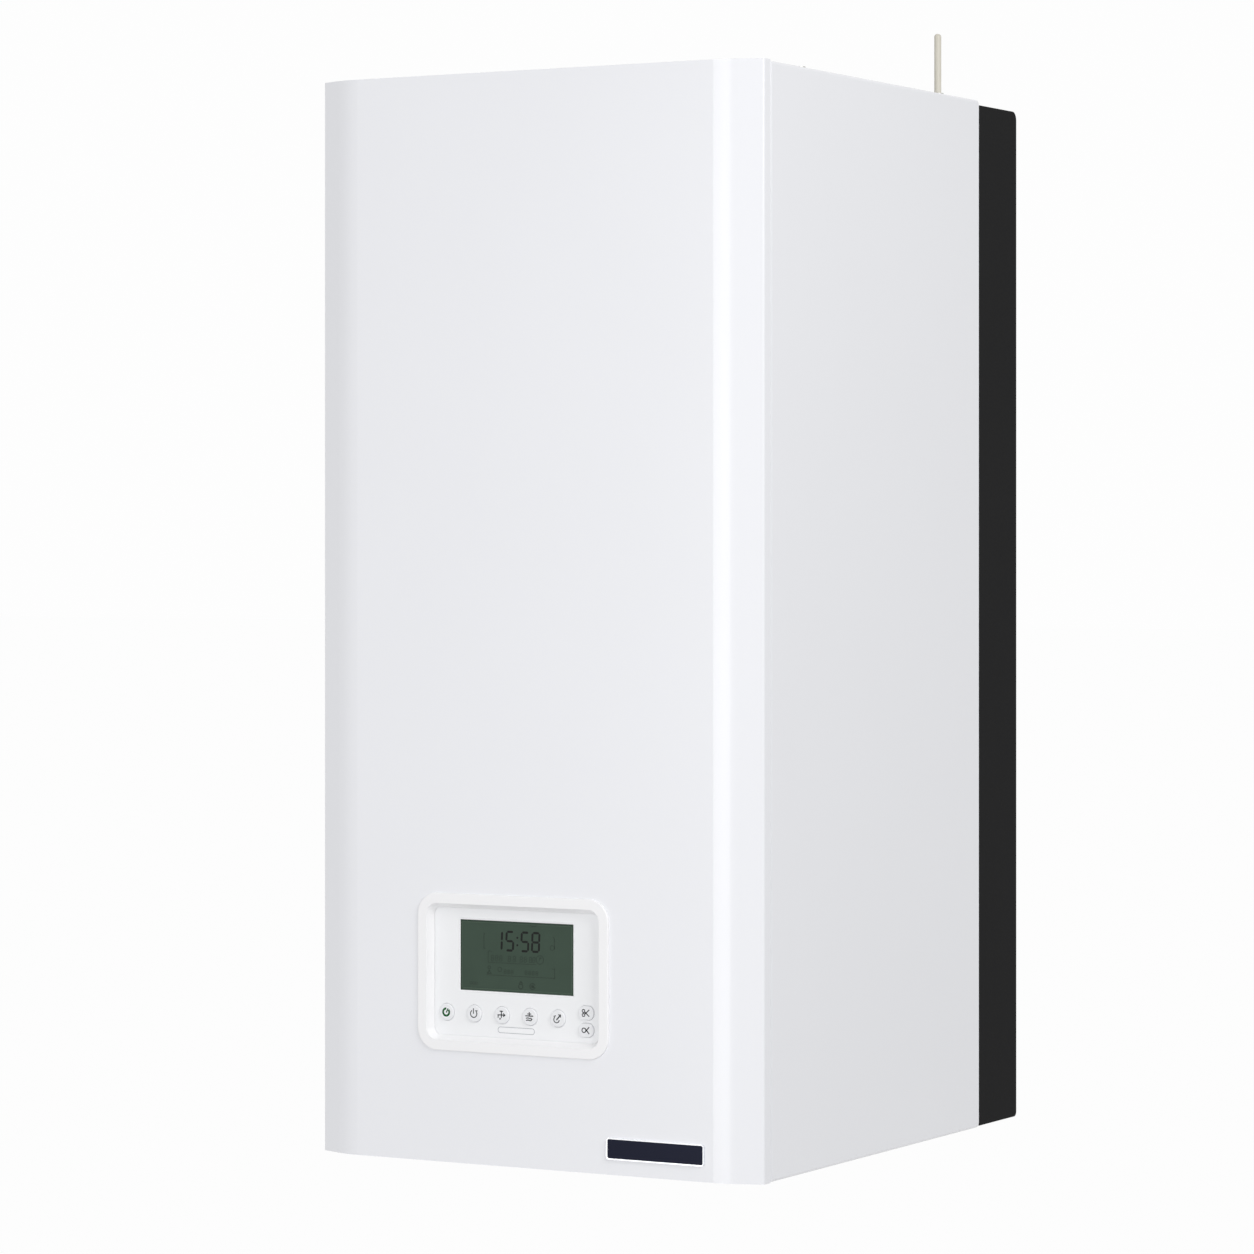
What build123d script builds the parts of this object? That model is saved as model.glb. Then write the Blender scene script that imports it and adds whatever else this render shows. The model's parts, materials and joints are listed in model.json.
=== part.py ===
from build123d import *
import os
from math import cos, radians, sin, tan

os.makedirs("parts", exist_ok=True)

# Frame: X to the right as seen from the front, Y towards the wall, Z up.
# The origin is the centre of the two wall bolts, on the wall plane.

# Overall sizes
width = 440
height = 945
depth = 520
rail_below_top = 60
sheet = 1.2
play = 0.3
overrun = 5

# Facade
wing_angle = 21
bend_radius = 60
wing_span = 42.4
facade_back = 23
corner_round = 2.7
facade_flange = 18

# Side panels, top and bottom panels
side_inset = 0.3
side_front_gap = 1.5
side_top_drop = 0.8
side_flange = 18
side_rear_round = 4.5
side_rear_gap = 0.4
bottom_recess = 85
bottom_flange = 15
duct_hole_radius = 67
gland_y = 300

# Black rear frame
frame_depth = 81
frame_inset = 0.8
frame_top_inset = 4.5
frame_bottom_inset = 1.4
frame_sheet = 1.5
frame_flange = 14
frame_top_round = 8
frame_bottom_round = 4.5
frame_recess = 20
cross_rail_height = 34
cross_rail_drops = (240, 460, 660)

# Wall rail and the tongues that hang on it
wall_bolt_end_inset = 35
wall_bolt_radius = 4.5
rail_side_gap = 34.2
rail_sheet = 2.5
rail_half_height = 22
rail_reach = 12
rail_lip = 16
tongue_width = 40
tongue_spacing = 240
tongue_sheet = 1.5
tongue_hook = 12
tongue_gap = 1

# Control bezel, fascia and display
bezel_width = 191
bezel_height = 137
bezel_round = 19.5
bezel_offset = -18.6
bezel_centre_height = 165.4
bezel_proud = 2
bezel_border = 9
bezel_slope = 4
bezel_inner_depth = 5.5
bezel_skirt_inset = 4.5
fascia_gap = 0.4
fascia_sheet = 2.6
fascia_lap = 4
display_width = 114.5
display_height = 62.5
display_rise = 14.9
display_chamfer = 0.9
lens_sheet = 1.5
lens_sink = 0.7
lens_lap = 3
module_depth = 6
housing_wall = 2.4
housing_depth = 58
board_depth = 14
board_sheet = 1.6
board_margin = 5
housing_bracket_width = 120
housing_bracket_reach = 26

# Buttons
button_pitch = 28
button_drop = 35.7
button_radius = 7.5
button_proud = 1.6
button_play = 0.25
button_collar = 1.2
button_collar_depth = 1.5
button_travel = 1.2
key_width = 15
key_height = 12
key_round = 5.5
key_upper_drop = 29.4
key_lower_drop = 44.2
stem_radius = 2
switch_size = 6
switch_depth = 3.5

# Badge
badge_width = 94
badge_height = 18
badge_side_inset = 50.7
badge_centre_height = 22.5
badge_sheet = 1.8
badge_round = 2.5

# Facade studs and clips
stud_side_inset = 12
stud_end_inset = 60
stud_radius = 3
stud_ball_radius = 4
stud_reach = 14
clip_size = 16
clip_depth = 11
clip_bore = 4.3

# Antenna
antenna_side_inset = 28
antenna_y = 113
antenna_radius = 3.2
antenna_above_top = 58.8
antenna_below_panel = 30
grommet_radius = 7
grommet_height = 3

# Exchanger and burner
exchanger_drop_share = 0.407
exchanger_side_room = 83.5
exchanger_length = 240
exchanger_wall = 4
exchanger_flange = 10
exchanger_flange_depth = 6
coil_gap = 5
coil_wall = 30
coil_turns = 8
coil_groove = 3
coil_sheet = 1.2
coil_header_radius = 5
coil_groove_depth = 9
coil_front_gap = 25
door_sheet = 8
duct_width = 70
duct_depth = 52
duct_wall = 3
duct_below = 38
burner_radius = 34
burner_length = 165
burner_wall = 1.5
electrode_radius = 2.2
electrode_base_radius = 7
electrode_spacing = 20
electrode_reach = 45
electrode_out = 18
flue_y = 165
flue_radius = 40
flue_wall = 1.5
flue_socket = 28
flue_seal_gap = 1.5
flue_socket_wall = 3
water_port_radius = 11
water_port_reach = 17
water_port_rise = 70
water_port_y = 140
condensate_port_y = 250
condensate_port_radius = 12
condensate_port_length = 26

# Flue collar
collar_height = 62
collar_below_top = 2
collar_radius = 62.5
collar_wall = 2.5
collar_seat = 6
collar_web = 6

# Fan
fan_x = 45
fan_radius = 70
fan_depth = 46
fan_wall = 3
fan_back_gap = 6
fan_outlet_width = 45
fan_outlet_drop = 18
fan_inlet_radius = 24
impeller_radius = 52
impeller_depth = 24
impeller_blades = 12
blade_sheet = 1.6
shaft_radius = 3
shaft_play = 0.05
shaft_length = 30
motor_radius = 42
motor_depth = 45
venturi_length = 90
venturi_radius = 30
venturi_wall = 3
venturi_gap = 3

# Gas valve and pipe
gas_valve_side_gap = 38.5
gas_valve_width = 60
gas_valve_depth = 64
gas_valve_height = 84
gas_port_radius = 11
gas_pipe_radius = 9

# Connections under the boiler, left to right, and their pipes
stub_side_room = 88.5
riser_side_gap = 34.5
stub_y = 140
stub_above_edge = 6
pipe_radius = 9
pipe_bend = 16
valve_radius = 13
valve_height = 34
valve_nut_radius = 15
valve_nut_height = 12
thread_radius = 10.3
valve_bore = 7.5
spindle_radius = 4
spindle_reach = 8
lever_length = 29
lever_width = 13
lever_sheet = 3

# Circulator
pump_rise = 200
pump_side_gap = 11
pump_depth = 46
pump_wall = 5
pump_port_radius = 16
pump_port_length = 20
pump_motor_depth = 68
pump_impeller_gap = 3
pump_impeller_depth = 16
pump_blades = 6

# Diverter valve
diverter_rise = 110
diverter_height = 90
diverter_radius = 20
diverter_chamber_radius = 12
diverter_wall = 10
diverter_port_radius = 11
diverter_port_reach = 34
plug_radius = 10
plug_height = 8
diverter_spindle_radius = 3
diverter_travel = 6
actuator_width = 44
actuator_depth = 50
actuator_height = 62
actuator_wall = 3

# Plate exchanger
plates_side_shift = 5
plates_width = 76
plates_height = 190
plates_gap = 4
plates_rise = 70
plates_count = 13
plates_groove = 1.6
nozzle_radius = 10
nozzle_length = 12
nozzle_inset = 16

# Expansion vessel
vessel_radius = 178
vessel_depth = 50
vessel_rim_depth = 16
vessel_seam = 4
vessel_pipe_rise = 34
vessel_sheet = 1.5
vessel_nipple_bore = 4
vessel_boss_radius = 30
vessel_nipple_radius = 7
vessel_nipple_length = 22

# Condensate siphon and hose
siphon_side_gap = 25.5
siphon_y = 340
siphon_radius = 28
siphon_height = 110
siphon_neck_radius = 12
siphon_neck = 16
siphon_outlet_radius = 12
hose_radius = 14
hose_bore = 12.2
hose_bend = 30

# Safety valve
relief_height = 46
relief_radius = 12
relief_side = 40
knob_radius = 14
knob_height = 16
knob_gap = 0.4
knob_grips = 8
grip_radius = 3

# Screws
screw_radius = 2.5
screw_head_radius = 5
screw_head = 2.4
screw_length = 9
screw_inset = 9
screw_end_inset = 70

# Cable gland
gland_radius = 11
gland_side_gap = 32.5
gland_height = 14
gland_bore = 4.5
gland_thread = 9

# Places that follow from the sizes
top = rail_below_top
bottom = top - height
front = -depth
half_width = width / 2
side_half = half_width - side_inset
side_top = top - side_top_drop
side_bottom = bottom
side_front = front + facade_back + side_front_gap
side_rear = -frame_depth - side_rear_gap
side_inner = side_half - sheet
frame_half = half_width - frame_inset
frame_top = side_top - frame_top_inset
frame_bottom = side_bottom + frame_bottom_inset
panel_z = bottom + bottom_recess
cover_z = side_top - 2 * sheet
bezel_z = bottom + bezel_centre_height
fascia_front = front + bezel_inner_depth + fascia_gap
fascia_back = fascia_front + fascia_sheet
exchanger_radius = side_inner - exchanger_side_room
exchanger_z = top - exchanger_drop_share * (top - panel_z)
exchanger_front = -frame_depth - exchanger_length
door_front = exchanger_front - door_sheet
fan_rise = exchanger_radius + exchanger_flange + venturi_gap + venturi_radius
fan_z = exchanger_z + fan_rise
duct_above = fan_rise - fan_radius - fan_outlet_drop
coil_inner = exchanger_radius - exchanger_wall - coil_gap - coil_wall
electrode_drop = (burner_radius + coil_inner) / 2
fan_back = door_front - fan_back_gap
fan_front = fan_back - fan_depth
stub_bottom = bottom + stub_above_edge
stub_pitch = (side_inner - stub_side_room) / 2
pipe_edge = valve_bore + sheet / 2
flow_x = -2 * stub_pitch
hot_x = -stub_pitch
cold_x = 0
return_x = stub_pitch
gas_x = 2 * stub_pitch
riser_x = side_inner - riser_side_gap
gas_valve_x = side_inner - gas_valve_width / 2 - gas_valve_side_gap
siphon_x = side_inner - siphon_radius - siphon_side_gap
gland_x = side_inner - gland_radius - gland_side_gap
antenna_x = half_width - antenna_side_inset
badge_x = half_width - badge_width / 2 - badge_side_inset
rail_half_length = frame_half - rail_side_gap
wall_bolt_x = rail_half_length - wall_bolt_end_inset
plates_x = stub_pitch - plates_side_shift
plates_depth = stub_y - pipe_radius - plates_gap - frame_depth
pump_radius = stub_pitch - pipe_radius - pump_side_gap
pump_motor_radius = pump_radius - pump_wall
pump_impeller_radius = pump_radius - 2 * pump_wall - pump_impeller_gap
pump_reach = pump_radius + pump_port_length
pump_z = panel_z + pump_rise
vessel_joint_z = pump_z + pump_reach + 0.7 * pipe_bend
vessel_z = vessel_joint_z + vessel_pipe_rise + vessel_nipple_length + vessel_radius
diverter_z = panel_z + diverter_rise


def save(name, *solids):
    shape = Compound(children=list(solids)) if len(solids) > 1 else solids[0]
    export_step(shape, f"parts/{name}.step")


# A block between two corners
def block(x, y, z):
    size = [abs(span[1] - span[0]) for span in (x, y, z)]
    centre = [(span[0] + span[1]) / 2 for span in (x, y, z)]
    return Pos(*centre) * Box(*size)


# Round bars along each axis, between two ends
def bar_x(x, y, z, radius):
    return Pos((x[0] + x[1]) / 2, y, z) * Rot(0, 90, 0) * Cylinder(radius, abs(x[1] - x[0]))


def bar_y(x, y, z, radius):
    return Pos(x, (y[0] + y[1]) / 2, z) * Rot(90, 0, 0) * Cylinder(radius, abs(y[1] - y[0]))


def bar_z(x, y, z, radius):
    return Pos(x, y, (z[0] + z[1]) / 2) * Cylinder(radius, abs(z[1] - z[0]))


# A plate with rounded corners that faces the front, between two depths
def front_plate(x, z, size_x, size_z, y, radius):
    outline = Plane.XZ * Pos(x, z) * RectangleRounded(size_x, size_z, radius)
    return Pos(0, y[1], 0) * extrude(outline, abs(y[1] - y[0]))


# A bent pipe through a list of points
def bent_pipe(points, radius, bend, bore=0):
    path = FilletPolyline(*points, radius=bend)
    start = Plane(origin=path @ 0, z_dir=path % 0)
    section = start * Circle(radius)
    if bore:
        section -= start * Circle(bore)
    return sweep(section, path=path)


# The facade's plan: flat front, a soft bend to each side wing, and straight sides
def facade_plan(inset, back):
    half = half_width - inset
    kink = half_width - wing_span + (bend_radius - inset) * tan(radians(wing_angle / 2))
    corner = inset + (half - kink) * tan(radians(wing_angle))
    right = [(kink, front + inset), (half, front + corner), (half, front + back)]
    left = [(-x, y) for x, y in reversed(right)]
    outline = make_face(Polyline(*left, *right, close=True))
    bends = outline.vertices().filter_by(lambda v: abs(v.Y - front - inset) < sheet / 2)
    outline = fillet(bends, bend_radius - inset)
    corners = outline.vertices().filter_by(lambda v: abs(v.Y - front - corner) < sheet / 2)
    return fillet(corners, corner_round - inset)


# What lies outside the facade's rounded corners, as seen from the front
def corner_waste(inset):
    y = (front - overrun, front + facade_back + overrun)
    size = (width - 2 * inset, height - 2 * inset)
    middle = (top + bottom) / 2
    around = block((-half_width - overrun, half_width + overrun), y, (bottom - overrun, top + overrun))
    deep = (y[0] - overrun, y[1] + overrun)
    return around - front_plate(0, middle, size[0], size[1], deep, corner_round - inset)


def facade():
    back = front + facade_back
    shell = Pos(0, 0, bottom) * extrude(facade_plan(0, facade_back), height, dir=(0, 0, 1))
    shell -= corner_waste(0)
    inside = facade_plan(sheet, facade_back - sheet)
    hollow = Pos(0, 0, bottom + sheet) * extrude(inside, height - 2 * sheet, dir=(0, 0, 1))
    hollow -= corner_waste(sheet)
    shell -= hollow
    mouth = (half_width - facade_flange, bottom + facade_flange, top - facade_flange)
    shell -= block((-mouth[0], mouth[0]), (back - 2 * sheet, back + overrun), mouth[1:])
    skirt = bezel_skirt_inset - play
    size = (bezel_width - 2 * skirt, bezel_height - 2 * skirt)
    through = (front - overrun, front + sheet + play)
    return shell - front_plate(bezel_offset, bezel_z, *size, through, bezel_round - skirt)


# The bezel: a flat border on the facade, and a slope down to the fascia
def control_bezel():
    y = (front - bezel_proud, front)
    inner = front + bezel_inner_depth
    skirt = bezel_skirt_inset
    ring = front_plate(bezel_offset, bezel_z, bezel_width, bezel_height, y, bezel_round)
    edge = ring.faces().sort_by(Axis.Y)[0].edges()
    ring = fillet(edge, bezel_proud * 0.45)
    size = (bezel_width - 2 * skirt, bezel_height - 2 * skirt)
    ring += front_plate(bezel_offset, bezel_z, *size, (front, inner), bezel_round - skirt)
    mouths = []
    for depth_here, inset in ((front - bezel_proud, bezel_border), (inner, bezel_border + bezel_slope)):
        place = Plane.XZ.offset(-depth_here) * Pos(bezel_offset, bezel_z)
        size = (bezel_width - 2 * inset, bezel_height - 2 * inset)
        mouths.append(place * RectangleRounded(*size, bezel_round - inset))
    return ring - loft(mouths)


def badge_plate():
    z = bottom + badge_centre_height
    plate = front_plate(badge_x, z, badge_width, badge_height, (front - badge_sheet, front), badge_round)
    return fillet(plate.faces().sort_by(Axis.Y)[0].edges(), badge_sheet / 3)


# Studs stand behind the facade's rear flange, near its corners, and their balls snap into the clips
def stud_places():
    x = side_half - stud_side_inset
    return [(side * x, z) for side in (-1, 1) for z in (bottom + stud_end_inset, top - stud_end_inset)]


def facade_studs():
    back = front + facade_back
    studs = []
    for x, z in stud_places():
        stud = bar_y(x, (back, back + stud_reach), z, stud_radius)
        studs.append(stud + Pos(x, back + stud_reach, z) * Sphere(stud_ball_radius))
    return studs


def facade_clips():
    clips = []
    for x, z in stud_places():
        y = (side_front + sheet, side_front + sheet + clip_depth)
        half = clip_size / 2
        side = 1 if x > 0 else -1
        outer = side * (side_inner - corner_round)
        inner = x - side * half
        clip = block((outer, inner), y, (z - half, z + half))
        clips.append(clip - bar_y(x, (y[0] - overrun, y[1] + overrun), z, clip_bore))
    return clips


# A side panel is a shallow pan that opens inwards
def side_panel(side):
    x = (side * side_half, side * (side_half - side_flange))
    y = (side_front, side_rear)
    z = (side_bottom, side_top)
    pan = block(x, y, z)
    outer_face = pan.faces().sort_by(Axis.X)[-1 if side > 0 else 0]
    rear = [e for e in pan.edges().filter_by(Axis.X) if e.center().Y > y[1] - sheet]
    pan = fillet(rear, side_rear_round)
    outer_x = outer_face.center().X
    front_bend = [e for e in pan.edges().filter_by(Axis.Z) if abs(e.center().X - outer_x) < sheet]
    pan = fillet(front_bend, corner_round)
    inner_y = (y[0] + sheet, y[1] - sheet)
    hollow = block((side * side_inner, side * -side_half), inner_y, (z[0] + sheet, z[1] - sheet))
    rear = [e for e in hollow.edges().filter_by(Axis.X) if e.center().Y > y[1] - 2 * sheet]
    hollow = fillet(rear, side_rear_round - sheet)
    bends = [e for e in hollow.edges().filter_by(Axis.Z) if side * e.center().X > side_inner - sheet]
    hollow = fillet(bends, corner_round - sheet)
    pan -= hollow
    for stud_x, stud_z in stud_places():
        pan -= bar_y(stud_x, (y[0] - overrun, y[0] + sheet + play), stud_z, clip_bore)
    for screw_x, screw_y in top_screw_places():
        pan -= bar_z(screw_x, screw_y, (z[1] - sheet - play, z[1] + overrun), screw_radius + play / 2)
    return pan


def top_screw_places():
    x = side_half - screw_inset
    ends = (side_front + screw_end_inset, side_rear - screw_end_inset)
    return [(side * x, y) for side in (-1, 1) for y in ends]


# The top panel hangs under the side panels' top flanges
def top_panel():
    half = side_inner - corner_round
    y = (side_front + corner_round + play, side_rear - side_rear_round - play)
    panel = block((-half, half), y, (cover_z, cover_z + sheet))
    between = side_half - side_flange - play
    panel += block((-between, between), (y[0], side_rear), (cover_z, cover_z + sheet))
    panel += block((-half, half), (y[0], y[0] + sheet), (cover_z - bottom_flange, cover_z))
    hole = (cover_z - overrun, cover_z + sheet + overrun)
    panel -= bar_z(0, -flue_y, hole, duct_hole_radius)
    panel -= bar_z(antenna_x, -antenna_y, hole, grommet_radius - 2 * sheet)
    for x, screw_y in top_screw_places():
        panel -= bar_z(x, screw_y, hole, screw_radius)
    return panel


def pipe_places():
    return [(x, -stub_y) for x in (flow_x, hot_x, cold_x, return_x, gas_x)]


# The bottom panel lies in the recess where the pipes come out
def bottom_panel():
    half = side_inner
    y = (side_front + corner_round + play, side_rear - side_rear_round)
    pan = block((-half, half), y, (panel_z, panel_z + sheet))
    pan += block((-half, half), (y[0], y[0] + sheet), (panel_z, panel_z + bottom_flange))
    for side in (-1, 1):
        pan += block((side * (half - sheet), side * half), y, (panel_z, panel_z + bottom_flange))
    hole = (panel_z - overrun, panel_z + sheet + overrun)
    for x, pipe_y in pipe_places():
        pan -= bar_z(x, pipe_y, hole, pipe_radius + 2 * sheet)
    pan -= bar_z(siphon_x, -siphon_y, hole, siphon_outlet_radius + sheet)
    pan -= bar_z(-gland_x, -gland_y, hole, gland_thread + play / 2)
    return pan + housing_bracket()


# The bracket rises from the bottom panel and carries the control housing from behind
def housing_bracket():
    half = housing_bracket_width / 2
    back = fascia_back + housing_depth
    x = (bezel_offset - half, bezel_offset + half)
    rise = (panel_z, bezel_z)
    foot = (panel_z, panel_z + 2 * sheet)
    return block(x, (back, back + 2 * sheet), rise) + block(x, (back, back + housing_bracket_reach), foot)


# The black rear frame: a deep rim, a back plate set in from the wall, and cross rails between its sides
def rear_frame():
    x = (-frame_half, frame_half)
    z = (frame_bottom, frame_top)
    wall = frame_sheet
    frame = block(x, (-frame_depth, 0), z)
    frame = fillet(rim_edges(frame, z[1], 0), frame_top_round)
    frame = fillet(rim_edges(frame, z[0], 0), frame_bottom_round)
    inner_z = (z[0] + wall, z[1] - wall)
    inner_x = (x[0] + wall, x[1] - wall)
    rear = block(inner_x, (-frame_recess, -wall), inner_z)
    rear = fillet(rim_edges(rear, inner_z[1], -wall), frame_top_round - wall)
    rear = fillet(rim_edges(rear, inner_z[0], -wall), frame_bottom_round - wall)
    frame -= rear
    frame -= block(inner_x, (-frame_depth + wall, -frame_recess - wall), inner_z)
    lip = frame_flange
    window = ((x[0] + lip, x[1] - lip), (z[0] + lip, z[1] - lip))
    frame -= block(window[0], (-frame_depth - overrun, -frame_depth + 2 * wall), window[1])
    frame -= block(window[0], (-2 * wall, overrun), window[1])
    for drop in cross_rail_drops:
        rail = (top - drop - cross_rail_height / 2, top - drop + cross_rail_height / 2)
        frame += block(inner_x, (-frame_depth, -frame_depth + wall), rail)
    for side in (-1, 1):
        frame += hanging_tongue(side * tongue_spacing / 2)
    return frame


def rim_edges(solid, z, y):
    near = [e for e in solid.edges().filter_by(Axis.X) if abs(e.center().Z - z) < sheet]
    return [e for e in near if abs(e.center().Y - y) < sheet]


# A tongue is pressed out of the back plate, over the rail's lip and down behind it
def hanging_tongue(x):
    span = (x - tongue_width / 2, x + tongue_width / 2)
    low = rail_half_height - rail_sheet + rail_lip + rail_sheet
    hook_y = -rail_reach + rail_sheet + tongue_gap
    tongue = block(span, (-frame_recess, hook_y + tongue_sheet), (low, low + tongue_sheet))
    return tongue + block(span, (hook_y, hook_y + tongue_sheet), (low - tongue_hook, low + tongue_sheet))


def wall_rail():
    x = (-rail_half_length, rail_half_length)
    shelf = rail_half_height - rail_sheet
    rail = block(x, (-rail_sheet, 0), (-rail_half_height, rail_half_height))
    rail += block(x, (-rail_reach, 0), (shelf, rail_half_height))
    rail += block(x, (-rail_reach, -rail_reach + rail_sheet), (shelf, rail_half_height + rail_lip))
    for side in (-1, 1):
        rail -= bar_y(side * wall_bolt_x, (-rail_sheet - overrun, overrun), 0, wall_bolt_radius)
    return rail


# The foam seal fills the gap between the facade and the side panels, inside their edges
def facade_seal():
    back = front + facade_back
    outer = (side_half - corner_round - sheet, (side_bottom + corner_round, side_top - corner_round))
    side = side_half - stud_side_inset + clip_bore + sheet
    inner = (side, (side_bottom + facade_flange, side_top - facade_flange))
    ring = block((-outer[0], outer[0]), (back, side_front), outer[1])
    return ring - block((-inner[0], inner[0]), (back - overrun, side_front + overrun), inner[1])


# Control unit: the fascia plate closes the front of its housing
def button_places():
    return [bezel_offset + (step - 2.5) * button_pitch for step in range(5)]


def key_places():
    x = bezel_offset + 2.5 * button_pitch
    return [(x, bezel_z - key_upper_drop), (x, bezel_z - key_lower_drop)]


def fascia_size(lap):
    inset = bezel_border + bezel_slope - lap
    return bezel_width - 2 * inset, bezel_height - 2 * inset, bezel_round - inset


def control_fascia():
    size_x, size_z, radius = fascia_size(fascia_lap)
    y = (fascia_front, fascia_back)
    plate = front_plate(bezel_offset, bezel_z, size_x, size_z, y, radius)
    display_z = bezel_z + display_rise
    through = (y[0] - overrun, y[1] + overrun)
    seat = (y[0] + lens_sink, y[1] + overrun)
    mouth = display_chamfer
    plate -= front_plate(
        bezel_offset, display_z, display_width, display_height, (y[0] - overrun, seat[0]), mouth,
    )
    plate -= front_plate(
        bezel_offset, display_z, display_width + play, display_height + play, seat, mouth,
    )
    for x in button_places():
        plate -= bar_y(x, through, bezel_z - button_drop, button_radius + button_play)
    for x, z in key_places():
        gap = 2 * button_play
        plate -= front_plate(x, z, key_width + gap, key_height + gap, through, key_round + button_play)
    return plate


def lcd_window():
    y = (fascia_front + lens_sink, fascia_front + lens_sink + lens_sheet)
    z = bezel_z + display_rise
    return front_plate(bezel_offset, z, display_width, display_height, y, display_chamfer)


def lcd_module():
    back = fascia_front + lens_sink + lens_sheet
    y = (back, back + module_depth)
    size_x = display_width - 2 * lens_lap
    size_z = display_height - 2 * lens_lap
    x = (bezel_offset - size_x / 2, bezel_offset + size_x / 2)
    z = (bezel_z + display_rise - size_z / 2, bezel_z + display_rise + size_z / 2)
    feet_y = (y[1], fascia_back + board_depth)
    foot = 2 * housing_wall
    module = block(x, y, z)
    for foot_x in (x[0] + foot, x[1] - foot):
        for foot_z in (z[0] + foot, z[1] - foot):
            module += bar_y(foot_x, feet_y, foot_z, housing_wall)
    return module


def control_board():
    size_x, size_z, radius = fascia_size(fascia_lap)
    margin = 2 * board_margin
    y = (fascia_back + board_depth, fascia_back + board_depth + board_sheet)
    board = front_plate(bezel_offset, bezel_z, size_x - margin, size_z - margin, y, radius - board_margin)
    switches = []
    for x, z in [(x, bezel_z - button_drop) for x in button_places()] + key_places():
        half = switch_size / 2
        switches.append(block((x - half, x + half), (y[0] - switch_depth, y[0]), (z - half, z + half)))
    return [board] + switches


def control_housing():
    size_x, size_z, radius = fascia_size(fascia_lap)
    y = (fascia_back, fascia_back + housing_depth)
    wall = 2 * housing_wall
    housing = front_plate(bezel_offset, bezel_z, size_x, size_z, y, radius)
    hollow = (y[0] - overrun, y[1] - housing_wall)
    inner = (size_x - wall, size_z - wall)
    housing -= front_plate(bezel_offset, bezel_z, *inner, hollow, radius - housing_wall)
    board_back = y[0] + board_depth + board_sheet
    post_x = size_x / 2 - housing_wall - board_margin - 2 * screw_radius
    post_z = size_z / 2 - housing_wall - board_margin - 2 * screw_radius
    for side_x in (-1, 1):
        for side_z in (-1, 1):
            x = bezel_offset + side_x * post_x
            z = bezel_z + side_z * post_z
            housing += bar_y(x, (board_back, y[1] - housing_wall / 2), z, 2 * screw_radius)
    return housing


# A round button: domed cap, collar behind the fascia, and a stem that reaches its switch
def round_button(x):
    z = bezel_z - button_drop
    y = (fascia_front - button_proud, fascia_back + button_play)
    button = bar_y(x, y, z, button_radius)
    button = fillet(button.faces().sort_by(Axis.Y)[0].edges(), button_proud * 0.8)
    collar = (fascia_back + button_play, fascia_back + button_play + button_collar_depth)
    button += bar_y(x, collar, z, button_radius + button_collar)
    return button + button_stem(x, z, collar[1])


def key_button(x, z):
    y = (fascia_front - button_proud, fascia_back + button_play)
    key = front_plate(x, z, key_width, key_height, y, key_round)
    key = fillet(key.faces().sort_by(Axis.Y)[0].edges(), button_proud / 2)
    collar = (fascia_back + button_play, fascia_back + button_play + button_collar_depth)
    size_x = key_width + 2 * button_collar
    size_z = key_height + button_collar
    key += front_plate(x, z, size_x, size_z, collar, key_round)
    return key + button_stem(x, z, collar[1])


def button_stem(x, z, start):
    end = fascia_back + board_depth - switch_depth - button_travel - play
    return bar_y(x, (start, end), z, stem_radius)


# Antenna: a rod with a round tip, held by a grommet in the top panel
def antenna_rod():
    tip = top + antenna_above_top
    rod = bar_z(antenna_x, -antenna_y, (cover_z - antenna_below_panel, tip), antenna_radius)
    return fillet(rod.faces().sort_by(Axis.Z)[-1].edges(), antenna_radius * 0.9)


def antenna_grommet():
    z = (cover_z + sheet, cover_z + sheet + grommet_height)
    neck = grommet_radius - 2 * sheet
    below = (cover_z - grommet_height, cover_z)
    grommet = bar_z(antenna_x, -antenna_y, z, grommet_radius)
    grommet = fillet(grommet.faces().sort_by(Axis.Z)[-1].edges(), sheet)
    grommet += bar_z(antenna_x, -antenna_y, (below[0], z[0]), neck)
    grommet += bar_z(antenna_x, -antenna_y, below, grommet_radius - sheet)
    return grommet - bar_z(antenna_x, -antenna_y, (below[0] - overrun, z[1] + overrun), antenna_radius)


# Exchanger: a drum that lies from the cross rails towards the front
def exchanger_shell():
    y = (exchanger_front, -frame_depth)
    inner = exchanger_radius - exchanger_wall
    shell = bar_y(0, y, exchanger_z, exchanger_radius)
    flange = (y[0], y[0] + exchanger_flange_depth)
    shell += bar_y(0, flange, exchanger_z, exchanger_radius + exchanger_flange)
    socket = flue_radius + flue_seal_gap + flue_socket_wall
    crown = exchanger_z + exchanger_radius
    shell += bar_z(0, -flue_y, (exchanger_z, crown + flue_socket), socket)
    drain = exchanger_z - exchanger_radius - condensate_port_length
    shell += bar_z(0, -condensate_port_y, (drain, exchanger_z), condensate_port_radius)
    for side in (-1, 1):
        reach = side * (exchanger_radius + water_port_reach)
        shell += bar_x((0, reach), -water_port_y, exchanger_z - side * water_port_rise, water_port_radius)
    shell -= bar_y(0, (y[0] - overrun, y[1] - exchanger_wall), exchanger_z, inner)
    shell -= bar_z(0, -flue_y, (exchanger_z, crown), flue_radius - flue_wall)
    socket_bore = flue_radius + flue_seal_gap
    shell -= bar_z(0, -flue_y, (crown + exchanger_wall, crown + flue_socket + overrun), socket_bore)
    shell -= bar_z(0, -flue_y, (crown - exchanger_wall, crown + flue_socket), flue_radius - flue_wall)
    bore = condensate_port_radius - 2 * flue_wall
    shell -= bar_z(0, -condensate_port_y, (drain - overrun, exchanger_z), bore)
    for side in (-1, 1):
        reach = side * (exchanger_radius + water_port_reach + overrun)
        z = exchanger_z - side * water_port_rise
        shell -= bar_x((0, reach), -water_port_y, z, water_port_radius - 2 * flue_wall)
    return shell


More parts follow.
